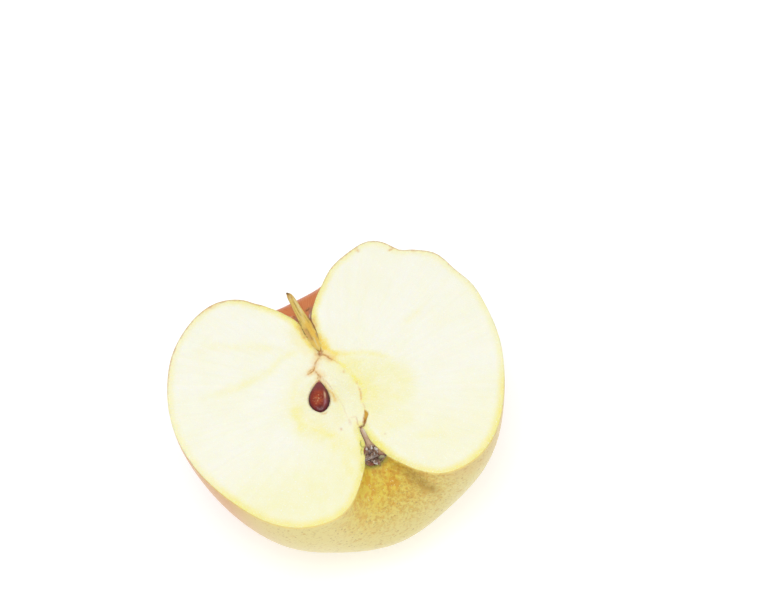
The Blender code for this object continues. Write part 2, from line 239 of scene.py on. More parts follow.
# The stem, split lengthwise: height, middle, half its width, its depth and how far its face stands proud
CAD_STEM_TOP = 31.1
STEM_STATIONS = [
    (11.9, -0.50, 0.12, 0.2, 0.0), (12.3, -0.50, 0.40, 0.4, 0.03), (13.0, -0.50, 0.70, 0.6, 0.04),
    (14.2, -0.50, 0.95, 0.85, 0.06), (16.0, -0.55, 1.27, 1.1, 0.08), (17.4, -0.62, 1.46, 1.3, 0.18),
    (18.8, -0.64, 1.46, 1.4, 0.34), (20.2, -0.64, 1.42, 1.4, 0.4), (21.6, -0.68, 1.34, 1.3, 0.42),
    (23.4, -0.76, 1.18, 1.2, 0.42), (25.6, -0.90, 1.06, 1.1, 0.42), (28.0, -1.03, 0.93, 1.0, 0.4),
    (29.4, -1.12, 0.82, 0.9, 0.38), (30.3, -1.20, 0.70, 0.8, 0.34), (30.9, -1.32, 0.46, 0.5, 0.2),
    (31.4, -1.55, 0.18, 0.2, 0.1),
]
STEM_SIDES = 64
# Marks along its split face
STEM_LIGHT = [
    ([(-0.62, 29.2), (-0.5, 27.0), (-0.4, 25.0), (-0.28, 23.4)], 0.2, 0.9),
    ([(-0.95, 24.4), (-0.8, 22.4), (-0.75, 20.8)], 0.12, 0.8),
    ([(-0.42, 16.6), (-0.45, 15.0), (-0.5, 13.8), (-0.48, 12.4)], 0.13, 1.0),
    ([(-1.2, 30.2), (-1.5, 28.6)], 0.16, 0.5),
    ([(-0.86, 31.0), (-0.74, 30.6)], 0.14, 1.0),
]
STEM_GROOVES = [
    ([(-1.0, 28.2), (-0.95, 26.0), (-0.9, 24.2), (-0.8, 23.0)], 0.07, 0.7),
    ([(-0.15, 23.4), (0.0, 21.6), (0.15, 20.4)], 0.07, 0.5),
    ([(-1.5, 26.0), (-1.5, 23.0), (-1.4, 21.0)], 0.07, 0.4),
    ([(-1.0, 19.4), (-0.95, 17.6), (-0.9, 15.4)], 0.1, 0.6),
]
STEM_BARK = [
    ([(-1.75, 31.6), (-1.5, 31.2), (-1.3, 30.6)], 0.22, 1.0),
    ([(-1.85, 22.4), (-1.85, 21.0), (-1.95, 20.2)], 0.12, 0.6),
    ([(-2.1, 19.8), (-2.15, 18.6), (-2.0, 17.6)], 0.14, 1.0),
    ([(-1.95, 17.4), (-1.8, 16.6)], 0.14, 0.4),
    ([(0.55, 22.4), (0.66, 21.2)], 0.1, 0.6),
]
STEM_GREY = [
    ([(0.72, 19.8), (0.75, 19.0), (0.72, 18.4)], 0.18, 0.6),
    ([(0.62, 17.2), (0.64, 16.4), (0.55, 15.6)], 0.16, 0.8),
]
STEM_TAN = [
    ([(-1.5, 31.2), (-1.3, 30.2), (-1.2, 29.0)], 0.4, 0.9),
    ([(-1.3, 19.4), (-1.5, 18.4), (-1.3, 16.8), (-1.0, 15.4)], 0.36, 0.9),
]
STEM_GOLD = [
    ([(-0.3, 22.0), (-0.3, 20.0), (-0.2, 18.0), (0.2, 16.0), (0.2, 14.0), (-0.2, 12.0)], 0.6, 1.0),
    ([(-1.3, 16.0), (-1.0, 14.6), (-0.8, 13.0)], 0.3, 0.8),
]

# The dried flower's bowl and tube, as distance from the core and height along it
EYE_CELL = 0.17
EYE_TURN_STEPS = 28
EYE_OUTLINE = [
    (0.0, -12.3), (0.42, -12.9), (0.60, -14.0), (0.72, -16.6), (0.92, -17.6), (1.35, -18.7), (2.0, -20.2),
    (2.6, -21.6), (2.8, -22.2), (2.4, -22.7), (1.3, -22.9), (0.0, -23.0),
]
# Its stamens, from root to tip across the cut face, with half their width and how pale they are
STAMENS = [
    (-0.75, -18.4, -0.90, -19.0, 0.22, 1.0), (0.62, -18.4, 0.32, -19.3, 0.20, 1.0),
    (-0.40, -19.3, -0.55, -19.8, 0.12, 0.6), (1.05, -19.3, 1.26, -20.0, 0.26, 1.0),
    (1.34, -20.3, 1.20, -20.8, 0.14, 0.7), (0.15, -18.8, 0.05, -20.0, 0.11, 0.0),
    (0.50, -20.4, 0.32, -21.2, 0.13, 0.6),
]
# Its dried sepals, from root to tip as they are seen against the cut face: half their width, how deep they
# start and end, how pale and how red they are, or how green below zero
SEPALS = [
    (-1.00, -18.0, -2.30, -20.8, 0.22, 0.05, 0.10, 0.0, 0.8),
    (1.0, -21.3, 2.80, -22.6, 0.2, 0.10, 0.15, 0.0, 0.5),
    (-2.6, -21.7, 1.2, -21.9, 0.36, 0.16, 0.30, 0.25, 0.0),
    (-2.55, -22.2, -1.15, -22.9, 0.34, 0.40, 0.80, 0.0, 0.2),
    (-2.2, -23.0, -0.85, -23.9, 0.40, 0.35, 1.10, 0.0, 0.9),
    (-0.75, -22.8, -0.15, -24.1, 0.40, 0.45, 1.10, 1.0, 0.0),
    (-0.45, -22.9, -0.05, -23.5, 0.26, 0.35, 0.70, 0.0, 0.0),
    (0.15, -23.2, 0.40, -24.7, 0.24, 0.60, 1.30, 0.1, 0.6),
    (2.75, -22.7, 0.60, -22.5, 0.32, 0.35, 0.60, 0.3, -1.0),
    (1.60, -22.7, 0.85, -23.6, 0.40, 0.50, 1.20, 0.2, -0.8),
]
# Pale flesh that shows through the bowl's right side
INNER_SIDE = [
    ([(1.45, -19.6), (1.9, -20.6), (2.4, -21.8)], 0.34, 1.0),
]
# Marks on the skin, by where they are seen against the plane of the cut face
# Russet and painted crease shade: a darker ochre and olive run down the eye's basin, in the valley between
# two of its bumps
RUSSET_AND_CREASE_SHADE = [
    ([
        (2.8, -23.8), (4.0, -25.9), (4.9, -27.4), (5.8, -28.7), (6.4, -31.5), (7.6, -34.6), (9.9, -37.2),
    ], 0.95, 1.0),
]
OLIVE_RUSSET_AND_CREASE_SHADE = [
    ([(5.7, -28.4), (7.2, -31.2), (8.6, -34.2), (9.8, -37.0)], 0.75, 0.9),
]
HOLLOW_GREY = [
    ([(1.3, 24.0), (1.9, 23.2), (1.5, 22.2), (1.1, 21.2)], 0.45, 1.0),
    ([(2.6, 24.6), (2.0, 23.8)], 0.4, 0.8),
    ([(-2.6, 23.6), (-2.3, 23.0), (-2.1, 22.2)], 0.35, 1.0),
]
HOLLOW_DARK = [
    ([(0.7, 24.1), (1.3, 24.4), (2.0, 24.9)], 0.16, 1.0),
    ([(0.7, 22.0), (0.7, 21.2)], 0.14, 0.8),
    ([(-2.9, 24.0), (-2.5, 23.6)], 0.14, 0.6),
]
# Painted highlights: small pale glints in the hollow round the stem
HOLLOW_HIGHLIGHTS = [
    ([(1.5, 22.9), (1.25, 22.2)], 0.13, 1.0),
    ([(-3.7, 24.4), (-3.2, 24.2)], 0.13, 0.6),
]

# Camera: turn round the apple from straight below the eye, rise above the cut face, roll, distance in metres,
# focal length in pixels of the photograph, and the pixel in which it shows the point it looks past
VIEW_TURN = math.radians(-16.03)
VIEW_RISE = math.radians(60.0)
VIEW_ROLL = math.radians(-8.03)
VIEW_DISTANCE = 0.65
VIEW_FOCUS = 2600.0
VIEW_POINT = (-0.536, 0.0)
VIEW_PIXEL = (338.0, 388.0)
IMAGE_SIZE = (760, 600)
SENSOR = 36.0

# Light: the room's strength and tint, the glow that keeps the floor pale, and the soft lamps, each with its
# place and width in metres and its power in watts
ROOM_STRENGTH = 0.69
ROOM_TINT = (0.97, 0.985, 1.0, 1.0)
FLOOR_GLOW = 0.46
FLOOR_REACH = 1.6
LAMP_AIM = (0.0, 0.0, 0.04)
LAMPS = {
    "key_softbox": ((-0.15, -0.25, 1.0), 0.4, 3.4),
    "fill_softbox": ((0.6, -0.5, 0.8), 0.7, 0.6),
}


def srgb(code):
    """An sRGB hex colour as linear light."""
    channels = [int(code[at:at + 2], 16) / 255 for at in (0, 2, 4)]
    return tuple(c / 12.92 if c <= 0.04045 else ((c + 0.055) / 1.055) ** 2.4 for c in channels)


def colour(name, description, code):
    return FloatVectorProperty(
        name=name, description=description, subtype="COLOR", size=3, min=0, max=1, default=srgb(code)
    )


class AppleHalfSettings(bpy.types.PropertyGroup):
    outline_steps: IntProperty(
        name="Outline steps", description="Points between two named points of the outline", default=7, min=2
    )
    turn_steps: IntProperty(
        name="Turn steps", description="Columns of faces round the skin's half turn", default=150, min=24
    )
    flesh_cell: FloatProperty(
        name="Flesh cell", description="Side of the faces on the cut face", default=0.5 * MM, unit="LENGTH"
    )
    core_cuts: IntProperty(
        name="Core cuts", description="How often those faces are divided in the core", default=2, min=0
    )
    rib_height: FloatProperty(
        name="Rib height", description="Height of the five ribs at the eye", default=0.35 * MM, unit="LENGTH"
    )
    stem_fibre: FloatProperty(
        name="Stem fibre", description="Depth of the split stem's grain", default=0.12 * MM, unit="LENGTH"
    )
    flesh: colour("Flesh", "Cut flesh between the core and the rim", "FCF9E8")
    flesh_shade: colour("Flesh shade", "Cloudy patches and strands in the flesh", "F8F5CF")
    flesh_inner: colour("Core flesh", "Flesh inside the core line", "F8F2B8")
    flesh_yellow: colour("Core line", "Strands and rings in the flesh", "F9ED7C")
    flesh_rim: colour("Rim", "Flesh next to the skin", "F6EA8C")
    flesh_brown: colour("Core crack", "Dried edges of cracks in the core", "BC7C3A")
    flesh_hole: colour("Core hole", "Wall of the core's open right cell", "CE9A14")
    flesh_stain: colour("Stem stain", "Flesh stained by the stem", "F4CC4A")
    flesh_green: colour("Eye green", "Flesh beside the eye", "DFD868")
    skin_ground: colour("Skin", "Yellow ground of the skin", "E0D088")
    skin_warm: colour("Skin side", "Warmer ground on the sides", "D39A58")
    skin_gold: colour("Russet", "Golden russet in the eye's basin", "E2C946")
    skin_deep: colour("Russet deep", "Darkest russet", "D0962C")
    skin_speck: colour("Speck", "Grey-brown specks", "B08A58")
    skin_blush: colour("Blush", "Red blush", "C9535A")
    skin_pit: colour("Stem pit", "Skin round the stem", "E39660")
    skin_dot: colour("Lenticel", "Pale dots in the blush", "EBCB8C")
    stem_wood: colour("Stem", "Split wood of the stem", "EDCF66")
    stem_bark: colour("Stem bark", "Bark of the stem", "6B4A22")
    seed_coat: colour("Seed", "Middle of the seed", "7C2016")
    seed_edge: colour("Seed edge", "Edge of the seed", "4C1826")
    eye_grey: colour("Eye", "Dried flower", "A07C62")
    eye_dark: colour("Eye dark", "Hollows of the dried flower", "4A261E")
    eye_pale: colour("Eye pale", "Stamens of the dried flower", "EFE6DC")
    floor: colour("Floor", "Floor of the studio", "DEDEDD")


def settings():
    return bpy.context.scene.apple_half


def smooth_path(points, steps):
    """Points along a smooth curve through the given ones, with steps between each pair."""
    ends = [points[0]] + list(points) + [points[-1]]
    path = []
    for before, start, end, after in zip(ends, ends[1:], ends[2:], ends[3:]):
        for step in range(steps):
            t = step / steps
            path.append(tuple(
                b + 0.5 * t * (c - a + t * (2 * a - 5 * b + 4 * c - d + t * (3 * (b - c) + d - a)))
                for a, b, c, d in zip(before, start, end, after)
            ))
    path.append(tuple(points[-1]))
    return path


def bell(distance, spread):
    return np.exp(-0.5 * (distance / spread) ** 2)


def lobe_angle(out, up):
    return np.degrees(np.arctan2(up - LOBE_MIDDLE[1], out - LOBE_MIDDLE[0]))


def skin_points(out, up, turn):
    """Points of the skin: the outline's points turned round the core, with ribs and relief."""
    wide = out - LOBE_MIDDLE[0]
    high = up - LOBE_MIDDLE[1]
    reach = np.hypot(wide, high)
    angle = np.degrees(np.arctan2(high, wide))
    rise = np.zeros_like(out)
    for at, spread, side, turn_spread, height in RELIEF.values():
        rise += height * bell(angle - at, spread) * bell(turn - side, turn_spread)
    rib_share = RIB_AT_STEM + (1 - RIB_AT_STEM) * (0.5 - 0.5 * np.sin(np.radians(angle)))
    rise += settings().rib_height / MM * rib_share * np.sin(np.radians(RIBS * turn))
    rise *= np.minimum(out / LOBE_MIDDLE[0], 1.0) ** 1.5
    out = out + rise * wide / reach
    up = up + rise * high / reach
    shift = np.where(up > 0, BORE_SHIFT * bell(out, BORE_WIDTH), TUBE_SHIFT * bell(out, TUBE_WIDTH))
    around = np.radians(turn)
    return np.column_stack([out * np.cos(around) + shift, up, -out * np.sin(around)])


def frame_place():
    """The apple's own zero point, as a place in the frame."""
    path = np.array(smooth_path(OUTLINE, CAD_OUTLINE_STEPS))
    out, up = path.T
    edges = [skin_points(out, up, np.full(len(path), turn)) for turn in (RIGHT_EDGE, LEFT_EDGE)]
    across = np.concatenate(edges)[:, 0]
    low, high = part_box("apple_flesh")
    stem_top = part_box("stem")[1][1]
    middle = (low[0] + high[0]) / 2
    core = middle - (across.max() + across.min()) / 2 * MM
    return Vector((core, stem_top - CAD_STEM_TOP * MM, high[2]))


def places(bm):
    return np.array([vertex.co[:] for vertex in bm.verts])


def from_segment(points, start, end):
    """How far each point is from a straight line between two others, and its share of the way along it."""
    step = end - start
    share = np.clip((points - start) @ step / max(step @ step, 1e-9), 0, 1)
    return np.hypot(*(points - start - share[:, None] * step).T), share


def run_distance(points, run):
    """How far each point is from a run of points, and how far along the run it is, from 0 to 1."""
    path = np.array(smooth_path(run, 4))
    best = np.full(len(points), 1e9)
    along = np.zeros(len(points))
    for index, (start, end) in enumerate(zip(path, path[1:])):
        distance, share = from_segment(points, start, end)
        nearer = distance < best
        best[nearer] = distance[nearer]
        along[nearer] = (index + share[nearer]) / (len(path) - 1)
    return best, along


def inside(points, loop):
    """Which points lie inside a closed loop."""
    result = np.zeros(len(points), dtype=bool)
    for (ax, ay), (bx, by) in zip(loop, np.roll(loop, -1, axis=0)):
        if ay == by:
            continue
        crosses = (points[:, 1] < max(ay, by)) & (points[:, 1] >= min(ay, by))
        side = ax + (points[:, 1] - ay) * (bx - ax) / (by - ay)
        result ^= crosses & (points[:, 0] < side)
    return result


def loop_distance(points, loop):
    best = np.full(len(points), 1e9)
    for start, end in zip(loop, np.roll(loop, -1, axis=0)):
        best = np.minimum(best, from_segment(points, start, end)[0])
    return best


def seed_axes():
    """The seed's directions on the cut face: from its foot to its tip, and to its right."""
    along = np.array([math.sin(SEED_LEAN), math.cos(SEED_LEAN)])
    return along, np.array([along[1], -along[0]])


def seed_plump(share):
    share = np.clip(share, 0, 1)
    return SEED_FULLNESS * share ** SEED_FOOT_POWER * (1 - share) ** SEED_TIP_POWER


def seed_outline():
    """The seed's outline on the cut face, right side and then left."""
    share = 0.5 - 0.5 * np.cos(np.linspace(0, math.pi, 49))
    plump = seed_plump(share)
    along, across = seed_axes()
    middle = SEED_FOOT + np.outer(share * SEED_LENGTH, along) - np.outer(SEED_BULGE_LEFT * plump, across)
    side = np.outer(SEED_WIDTH / 2 * plump, across)
    return np.vstack([middle + side, (middle - side)[-2:0:-1]])


def rounded(loop):
    """A closed loop of points with its corners smoothed."""
    return np.array(smooth_path(loop + loop[:1], 4))[:-1]


def outside_by(points, loop):
    """How far each point lies outside a closed loop, below 0 inside it."""
    return loop_distance(points, loop) * np.where(inside(points, loop), -1, 1)


def add_piece(name, bm, materials, marks):
    """A finished piece from a bmesh in the apple's own millimetres, placed in the frame.

    Each mark keeps one number for each vertex, which a material reads by the mark's name.
    """
    bmesh.ops.recalc_face_normals(bm, faces=bm.faces[:])
    mesh = bpy.data.meshes.new(name)
    bm.to_mesh(mesh)
    bm.free()
    for material in materials:
        mesh.materials.append(material)
    mesh.transform(Matrix.Translation(frame_place()) @ Matrix.Scale(MM, 4))
    mesh.shade_smooth()
    for mark, values in marks.items():
        attribute = mesh.attributes.new(mark, "FLOAT", "POINT")
        attribute.data.foreach_set("value", np.asarray(values, dtype=np.float32))
    thing = bpy.data.objects.new(name, mesh)
    bpy.context.scene.collection.objects.link(thing)
    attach(thing, "root")
    return thing


def add_node(tree, kind, inputs=None, out=0, **values):
    """Adds a node with its settings and its links, and gives one of its outputs."""
    node = tree.nodes.new("ShaderNode" + kind)
    for name, value in values.items():
        setattr(node, name, value)
    for socket, value in (inputs or {}).items():
        if isinstance(value, bpy.types.NodeSocket):
            tree.links.new(value, node.inputs[socket])
        else:
            node.inputs[socket].default_value = value
    return node.outputs[out]


def new_material(name):
    """A material, its tree and where a point is on the object, in millimetres."""
    material = bpy.data.materials.new(name)
    material.use_nodes = True
    tree = material.node_tree
    metres = add_node(tree, "TexCoord", out="Object")
    return material, tree, add_node(tree, "VectorMath", {0: metres, "Scale": 1 / MM}, operation="SCALE")


def grown(tree, patterns):
    """Cloudy patterns by name: where they are read, patch size, detail, and what becomes 0 and 1."""
    grains = {"even": 1.0}
    for name, vector, size, detail, low, high in patterns:
        inputs = {"Vector": vector, "Scale": 1 / size, "Detail": detail, "Roughness": 0.6}
        cloud = add_node(tree, "TexNoise", inputs)
        grains[name] = add_node(tree, "MapRange", {"Value": cloud, "From Min": low, "From Max": high})
    return grains


def painted(tree, ground, grains, layers):
    """Lays colours over the ground. Each is laid on as strongly as its mark and its grain say."""
    tint = (*ground, 1.0)
    for spot, grain, low, high, code in layers:
        share = add_node(tree, "MapRange", {"Value": grains[grain], "To Min": low, "To Max": high})
        if spot:
            here = add_node(tree, "Attribute", out="Fac", attribute_name=spot)
            share = add_node(tree, "Math", {0: share, 1: here}, operation="MULTIPLY")
        top = (*(srgb(code) if isinstance(code, str) else code), 1.0)
        tint = add_node(tree, "Mix", {0: share, 6: tint, 7: top}, out=2, data_type="RGBA")
    return tint


def dressed(material, tint, heights, finish):
    """Gives a material its colour, one relief on top of another with its depth in mm, and its finish.

    The finish is a number or colour for the whole surface, or an output that changes over it.
    """
    tree = material.node_tree
    shader = tree.nodes["Principled BSDF"].inputs
    tree.links.new(tint, shader["Base Color"])
    normal = None
    for height, depth in heights:
        inputs = {"Height": height, "Strength": 1.0, "Distance": depth * MM}
        if normal:
            inputs["Normal"] = normal
        normal = add_node(tree, "Bump", inputs)
    if normal:
        tree.links.new(normal, shader["Normal"])
    for name, value in finish.items():
        if isinstance(value, bpy.types.NodeSocket):
            tree.links.new(value, shader[name])
        else:
            shader[name].default_value = value
    return material


def flesh_material():
    """Cut apple flesh: crisp wet cells that scatter light, so it is cream, soft-edged and faintly glossy."""
    look = settings()
    material, tree, place = new_material("fresh_cut_apple_flesh")
    # Strands run outwards from the core, about 1 mm wide and 10 mm long
    core = tuple(frame_place() / MM + Vector((0.0, -1.0, -5.0)))
    away = add_node(tree, "VectorMath", {0: place, 1: core}, operation="SUBTRACT")
    far = add_node(tree, "VectorMath", {0: away}, out="Value", operation="LENGTH")
    way = add_node(tree, "VectorMath", {0: away}, operation="NORMALIZE")
    round_core = add_node(tree, "VectorMath", {0: way, "Scale": 24.0}, operation="SCALE")
    lengthwise = add_node(tree, "Math", {0: far, 1: 0.1}, operation="MULTIPLY")
    outwards = add_node(tree, "CombineXYZ", {"Z": lengthwise})
    strand = add_node(tree, "VectorMath", {0: round_core, 1: outwards}, operation="ADD")
    grains = grown(tree, (
        ("cloud", place, 9.0, 2.0, 0.38, 0.66),
        ("patch", place, 2.6, 3.0, 0.38, 0.66),
        ("fray", place, 0.8, 3.0, 0.3, 0.58),
        ("cells", place, 0.35, 2.0, 0.5, 0.72),
        ("glint", place, 0.45, 2.0, 0.64, 0.7),
        ("strand", strand, 1.0, 3.0, 0.4, 0.66),
        ("drag", strand, 3.0, 2.0, 0.35, 0.65),
    ))
    tint = painted(tree, look.flesh, grains, (
        (None, "cloud", 0.0, 0.35, look.flesh_shade),
        (None, "strand", 0.0, 0.25, look.flesh_shade),
        ("low", "patch", 0.6, 0.9, "F8F3C0"),
        ("inner", "patch", 0.6, 0.9, look.flesh_inner),
        ("seed_cell", "patch", 0.4, 0.8, "F8F1BE"),
        ("rim_yellow", "patch", 0.8, 1.0, look.flesh_rim),
        ("yellow", "patch", 0.6, 1.0, look.flesh_yellow),
        (None, "glint", 0.0, 0.8, "FFFFFA"),
        ("green", "fray", 0.5, 1.0, look.flesh_green),
        ("wide_stain", "patch", 0.75, 1.0, "F9E26C"),
        ("stain", "fray", 0.7, 1.0, look.flesh_stain),
        # Pale cell dots: partly the cells' own tone, partly painted sparkle of the wet cut cells
        (None, "cells", 0.0, 0.35, "FEFEF4"),
        ("halo", "fray", 0.7, 1.0, "F2CC80"),
        ("tan_line", "fray", 0.4, 1.0, "E2B266"),
        ("fine_line", "fray", 0.3, 0.85, "D8AA82"),
        ("crack", "fray", 0.25, 0.95, look.flesh_brown),
        ("hole", "patch", 0.9, 1.0, look.flesh_hole),
        ("dark", "fray", 0.8, 1.0, "8E5630"),
        ("hole_rim", "fray", 0.3, 0.8, "CC8A48"),
        ("hair", "even", 0.0, 1.0, "9AA04A"),
        ("peel", "fray", 0.2, 0.9, "DCAE84"),
        ("knot", "fray", 0.9, 1.0, "C98C58"),
        ("knot_edge", "fray", 0.7, 1.0, "9C6028"),
    ))
    heights = (grains["drag"], 0.05), (grains["strand"], 0.03), (grains["cells"], 0.02)
    return dressed(material, tint, heights, {
        "Roughness": add_node(tree, "MapRange", {"Value": grains["cells"], "To Min": 0.5, "To Max": 0.34}),
        "Subsurface Weight": 0.3,
        "Subsurface Radius": (1.0, 0.85, 0.5),
        "Subsurface Scale": 1.2 * MM,
        "IOR": 1.36,
    })


def skin_material():
    """Ripe apple skin: a thin waxy cuticle over pigment, with corky russet in the eye's basin."""
    look = settings()
    material, tree, place = new_material("waxed_apple_skin")
    turn = add_node(tree, "Attribute", out="Fac", attribute_name="turn")
    lobe = add_node(tree, "Attribute", out="Fac", attribute_name="lobe")
    # Stripes of the blush run from stem to eye, 1 to 3 degrees wide
    across = add_node(tree, "Math", {0: turn, 1: 0.4}, operation="MULTIPLY")
    down = add_node(tree, "Math", {0: lobe, 1: 0.035}, operation="MULTIPLY")
    striped = add_node(tree, "CombineXYZ", {"X": across, "Y": down})
    dashed = add_node(tree, "VectorMath", {0: place, 1: (0.5, 0.8, 0.8)}, operation="MULTIPLY")
    grains = grown(tree, (
        ("stripe", striped, 1.0, 5.0, 0.36, 0.64),
        ("cloud", place, 7.0, 3.0, 0.36, 0.66),
        ("mottle", place, 1.7, 4.0, 0.48, 0.58),
        ("net", place, 0.8, 3.0, 0.5, 0.62),
        ("blotch", place, 3.4, 4.0, 0.5, 0.62),
        ("splash", dashed, 1.1, 3.0, 0.6, 0.68),
        ("fleck", place, 0.7, 3.0, 0.65, 0.7),
        ("dash", dashed, 0.4, 2.0, 0.58, 0.66),
        ("pore", place, 0.4, 3.0, 0.3, 0.7),
    ))
    # Lenticels: pale corky pores 0.3 to 0.9 mm wide, 3 mm apart, and specks a third of that
    for name, size, least, most in (("dot", 3.0, 0.03, 0.16), ("speck", 1.2, -0.06, 0.3)):
        spaced = {"Vector": place, "Scale": 1 / size}
        cells = add_node(tree, "TexVoronoi", spaced, out="Distance")
        own = add_node(tree, "TexVoronoi", spaced, out="Color")
        edge = add_node(tree, "MapRange", {"Value": own, "To Min": least, "To Max": most})
        inner = add_node(tree, "Math", {0: edge, 1: cells}, operation="SUBTRACT")
        grains[name] = add_node(tree, "MapRange", {"Value": inner, "From Min": 0.0, "From Max": 0.06})
    tint = painted(tree, look.skin_ground, grains, (
        ("warm", "cloud", 0.75, 0.95, look.skin_warm),
        ("pale_green", "cloud", 0.2, 0.7, "DACC80"),
        ("basin", "cloud", 0.85, 1.0, look.skin_gold),
        ("basin", "mottle", 0.0, 0.6, look.skin_deep),
        ("basin_net", "net", 0.0, 0.6, look.skin_deep),
        ("basin", "blotch", 0.0, 0.35, "DA942C"),
        ("basin", "fleck", 0.0, 0.9, "F6F0B0"),
        # Russet and painted crease shade down the eye's basin
        ("russet_crease_shade", "mottle", 0.7, 1.0, "B68C2C"),
        ("olive_russet_crease_shade", "mottle", 0.6, 0.95, "AC8A30"),
        ("blush", "even", 0.0, 0.4, "E29A54"),
        ("blush", "stripe", 0.35, 1.0, look.skin_blush),
        ("deep_blush", "stripe", 0.2, 0.9, "B43A42"),
        ("pit", "cloud", 0.8, 1.0, look.skin_pit),
        ("pit", "stripe", 0.0, 0.6, "CC6746"),
        ("pit_gold", "mottle", 0.3, 0.8, "E6B478"),
        # Painted light: the bore wall near the cut is laid pale tan, paler than its shade in the narrow gap
        # beside the stem
        ("bore_wall_painted_light", "net", 0.9, 0.7, "E8C088"),
        ("pit_grey", "net", 0.6, 1.0, "A3907F"),
        ("pit_dark", "net", 0.7, 1.0, "5E4028"),
        # Painted highlights in the hollow round the stem
        ("pit_highlight", "even", 0.0, 1.0, "EFD3C0"),
        ("speckle", "dash", 0.0, 0.4, look.skin_speck),
        ("speckle", "splash", 0.0, 0.6, "C89A44"),
        ("speckle", "speck", 0.0, 0.6, look.skin_speck),
        ("lenticel", "dot", 0.0, 0.85, look.skin_dot),
        ("eye_ring", "mottle", 0.7, 1.0, "A9AE55"),
        ("rim_peel", "mottle", 0.9, 0.5, "F2D678"),
    ))
    # Russet is rough and raised, and the hollow round the stem is dull
    russet = add_node(tree, "Attribute", out="Fac", attribute_name="basin_net")
    corky = add_node(tree, "Math", {0: grains["net"], 1: russet}, operation="MULTIPLY")
    hollow = add_node(tree, "Attribute", out="Fac", attribute_name="pit")
    heights = (corky, 0.1), (grains["pore"], 0.02), (grains["dot"], 0.03)
    return dressed(material, tint, heights, {
        "Roughness": add_node(tree, "MapRange", {"Value": corky, "To Min": 0.34, "To Max": 0.6}),
        "Subsurface Weight": 0.1,
        "Subsurface Radius": (1.0, 0.7, 0.3),
        "Subsurface Scale": 1.0 * MM,
        "Coat Weight": add_node(tree, "MapRange", {"Value": hollow, "To Min": 0.12, "To Max": 0.0}),
        "Specular IOR Level": add_node(tree, "MapRange", {"Value": hollow, "To Min": 0.35, "To Max": 0.0}),
        "Coat Roughness": 0.2,
    })


def turned_half(bm, outline, steps):
    """Spins the outline by half a turn below the cut face and gives each vertex's outline place."""
    path = [bm.verts.new((out, up, 0.0)) for out, up in outline]
    edges = [bm.edges.new(pair) for pair in zip(path, path[1:])]
    bmesh.ops.spin(
        bm, geom=path + edges, cent=(0, 0, 0), axis=(0, 1, 0), dvec=(0, 0, 0), angle=math.pi, steps=steps
    )
    bmesh.ops.remove_doubles(bm, verts=bm.verts[:], dist=1e-4)
    points = places(bm)
    out = np.hypot(points[:, 0], points[:, 2])
    turn = np.degrees(np.arctan2(-points[:, 2], points[:, 0]))
    turn = np.where(out < 1e-4, 90.0, np.clip(np.abs(turn), 0.0, 180.0))
    return out, points[:, 1], turn


def fill_cut_face(bm, rim_edges, cell, cuts):
    """Fills the rim with an even grid, finer in the core, joined to the rim by a strip of triangles."""
    rim_points = ordered_loop(rim_edges)
    low, high = rim_points.min(axis=0), rim_points.max(axis=0)
    counts = np.ceil((high - low) / cell).astype(int)
    size = counts * cell
    middle = (low + high) / 2
    place = Matrix.Translation((*middle, 0)) @ Matrix.Diagonal((*(size / 2), 1, 1))
    made = bmesh.ops.create_grid(
        bm, x_segments=int(counts[0]), y_segments=int(counts[1]), size=1.0, matrix=place
    )
    verts = made["verts"]
    flat = np.array([vertex.co[:2] for vertex in verts])
    keep = inside(flat, rim_points) & (loop_distance(flat, rim_points) > 0.6 * cell)
    bmesh.ops.delete(bm, geom=[v for v, kept in zip(verts, keep) if not kept], context="VERTS")
    grid = [v for v, kept in zip(verts, keep) if kept]
    stray = [v for v in grid if not v.link_faces]
    bmesh.ops.delete(bm, geom=stray, context="VERTS")
    faces = {face for v in grid if v.is_valid for face in v.link_faces}
    grid_edges = list(set([e for face in faces for e in face.edges if e.is_boundary]))
    strip = bmesh.ops.triangle_fill(bm, edges=rim_edges + grid_edges, use_beauty=True, use_dissolve=False)
    filled = [g for g in strip["geom"] if isinstance(g, bmesh.types.BMFace)]
    left, right, bottom, top = CORE_AREA
    core = [
        face for face in faces
        if left < face.calc_center_median().x < right and bottom < face.calc_center_median().y < top
    ]
    core_edges = list({e for face in core for e in face.edges})
    for face in list(faces) + filled:
        face.material_index = FLESH_SLOT
    if cuts:
        bmesh.ops.subdivide_edges(bm, edges=core_edges, cuts=cuts, use_grid_fill=True)


def ordered_loop(edges):
    """The points of a closed run of edges, in order."""
    links = {}
    for edge in edges:
        first, second = edge.verts
        links.setdefault(first, []).append(second)
        links.setdefault(second, []).append(first)
    start = edges[0].verts[0]
    order = [start]
    before, here = None, start
    while True:
        ahead = [v for v in links[here] if v is not before][0]
        if ahead is start:
            break
        order.append(ahead)
        before, here = here, ahead
    return np.array([v.co[:2] for v in order])


def run_strength(points, runs, widen=1.0):
    """How strongly any of the marked runs shows at each point."""
    result = np.zeros(len(points))
    for run, half, strength in runs:
        reach = 4 * half * widen
        near = np.all((points > np.min(run, axis=0) - reach) & (points < np.max(run, axis=0) + reach), axis=1)
        distance, along = run_distance(points[near], run)
        ends = np.clip(np.minimum(along, 1 - along) / 0.15, 0.35, 1)
        result[near] = np.maximum(result[near], strength * bell(distance, half * widen) * ends)
    return result


def frayed(points, size, reach):
    """The points moved about by noise, so that what is drawn by them has frayed edges."""
    noise.seed_set(FRAY_SEED)
    shift = [noise.noise_vector(Vector((x / size, y / size, size)))[:2] for x, y in points]
    return points + reach * np.array(shift)


def rise_to(values, low, high):
    """A smooth step from 0 at low to 1 at high."""
    share = np.clip((values - low) / (high - low), 0, 1)
    return share * share * (3 - 2 * share)


